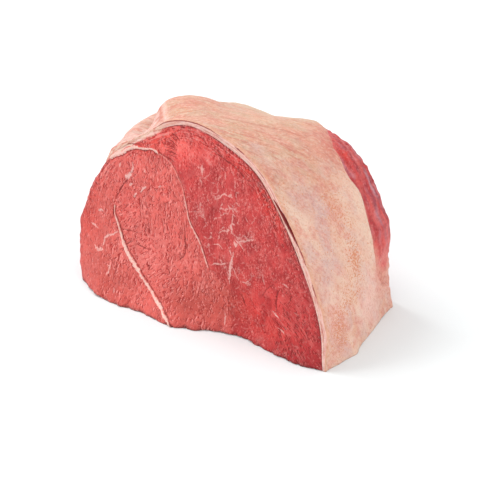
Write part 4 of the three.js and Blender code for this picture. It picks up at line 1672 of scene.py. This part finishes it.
        # The pocket is painted dark, as the shade inside it, over its sunken floor.
        pocket = self.slit_cover(round_, out)[0]
        layer.coat(Tone.PIT, pocket)
        paint.colour[rim] = layer.colour[rim]
        paint.store(mesh, "paint")
        rust = sum(strength * bell(at[:, 0] - across, wide) * bell(at[:, 1] - up, high)
                   for across, up, wide, high, strength in self.rusts)
        store_number(mesh, "rust", np.where(rim, -1.0, rust))
        store_number(mesh, "fibre", np.where(rim, 0.2 * (1.0 - pocket), mix(0.3, 0.8, top)))
        store_number(mesh, "fleck", np.where(rim, 1.0 - pocket, 1.0))
        for name, creases, where, places in (("slit", self.slits, rim, band), ("hair", self.hairs, ~rim, at)):
            lines, rows = Lines(len(at)), np.flatnonzero(where)
            drawn = Lines(len(rows))
            for crease in creases:
                crease.draw(drawn, places[rows])
            lines.rows[rows] = drawn.rows
            store_vector(mesh, name, lines.rows)
        turn = math.radians(self.fibre_turn)
        run, side = (at[:, 0] * math.cos(turn) - at[:, 1] * math.sin(turn),
                     at[:, 1] * math.cos(turn) + at[:, 0] * math.sin(turn))
        store_vector(mesh, "flow", np.stack([run, side, band[:, 1]], axis=-1))


# ---- The studio ----


class Lamp(Enum):
    """The studio's lights: azimuth, elevation, distance, size and power."""

    KEY = (-88.0, 52.0, 1.6, 0.9, 13.0)
    RAKE = (-50.0, 32.0, 1.6, 0.5, 5.0)
    FILL = (95.0, 35.0, 1.6, 1.0, 6.1)


@dataclass(frozen=True)
class Studio:
    """A white floor, soft lights and the camera."""

    azimuth: float = 35.5
    elevation: float = 30.0
    distance: float = 1.014
    lens: float = 120.0
    target: tuple[float, float, float] = (0.00381, -0.00166, 0.04131)
    sensor: float = 36.0
    floor_size: float = 12.0
    sky: float = 1.05

    def build(self) -> None:
        """Sets up the floor, the lights and the camera."""
        self.floor()
        for lamp in Lamp:
            self.lamp(lamp)
        world = bpy.data.worlds.new("studio")
        world.use_nodes = True
        background = world.node_tree.nodes["Background"].inputs
        background["Color"].default_value = WHITE
        background["Strength"].default_value = self.sky
        bpy.context.scene.world = world
        bpy.context.scene.view_settings.view_transform = "Standard"
        self.camera()

    def direction(self, azimuth: float, elevation: float) -> Vector:
        """The way from the joint to a place round it."""
        turn, rise = math.radians(azimuth), math.radians(elevation)
        return Vector((math.sin(turn) * math.cos(rise), -math.cos(turn) * math.cos(rise), math.sin(rise)))

    def aimed(self, thing: bpy.types.Object, azimuth: float, elevation: float, distance: float) -> None:
        """Places a lamp or the camera round the joint, aimed at it."""
        way = self.direction(azimuth, elevation)
        thing.location = Vector(self.target) + way * distance
        thing.rotation_euler = way.to_track_quat("Z", "Y").to_euler()
        bpy.context.scene.collection.objects.link(thing)

    def camera(self) -> None:
        """Adds the camera."""
        data = bpy.data.cameras.new("camera")
        data.lens = self.lens
        data.sensor_width = self.sensor
        camera = bpy.data.objects.new("camera", data)
        self.aimed(camera, self.azimuth, self.elevation, self.distance)
        bpy.context.scene.camera = camera

    def lamp(self, lamp: Lamp) -> None:
        """Adds one soft light."""
        azimuth, elevation, distance, size, power = lamp.value
        data = bpy.data.lights.new(lamp.name.lower(), "AREA")
        data.shape = "DISK"
        data.size = size
        data.energy = power
        self.aimed(bpy.data.objects.new(data.name, data), azimuth, elevation, distance)

    def floor(self) -> None:
        """Adds the floor."""
        bm = bmesh.new()
        bmesh.ops.create_grid(bm, x_segments=1, y_segments=1, size=self.floor_size / 2.0)
        mesh = bpy.data.meshes.new("studio_floor")
        bm.to_mesh(mesh)
        bm.free()
        mesh.materials.append(FloorFinish().material())
        floor = bpy.data.objects.new("studio_floor", mesh)
        bpy.context.scene.collection.objects.link(floor)


def frame_shift(form: JointForm) -> Array:
    """How far the frame of the solids lies from the form's construction frame, in millimetres."""
    shares = np.linspace(0.0, 1.0, SAMPLES)
    rounds, depths = np.meshgrid(np.linspace(0.0, 1.0, ROUND_SAMPLES), shares)
    flank = form.flank(rounds, depths).reshape(-1, 3)
    across, up = (rows.ravel() for rows in np.meshgrid(shares, shares))
    back = form.body(across, np.ones_like(across), up)
    low, high = (np.array(corner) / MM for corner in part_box("lean"))
    x = 0.5 * (low[0] + high[0] - flank[:, 0].min() - flank[:, 0].max())
    return np.array([x, high[1] - back[:, 1].max(), 0.0])


def main() -> None:
    """Builds the joint and the studio."""
    logging.basicConfig(level=logging.INFO, format="%(message)s")
    log = logging.getLogger("joint")
    form = JointForm()
    shift = frame_shift(form)
    log.info("shift %s mm", np.round(shift, 3))
    Studio().build()
    for maker in (LeanMeat(form, shift), FatCap(form, shift)):
        piece = maker.build()
        log.info("%s: %d faces", piece.name, len(piece.data.polygons))


if __name__ == "__main__":
    main()
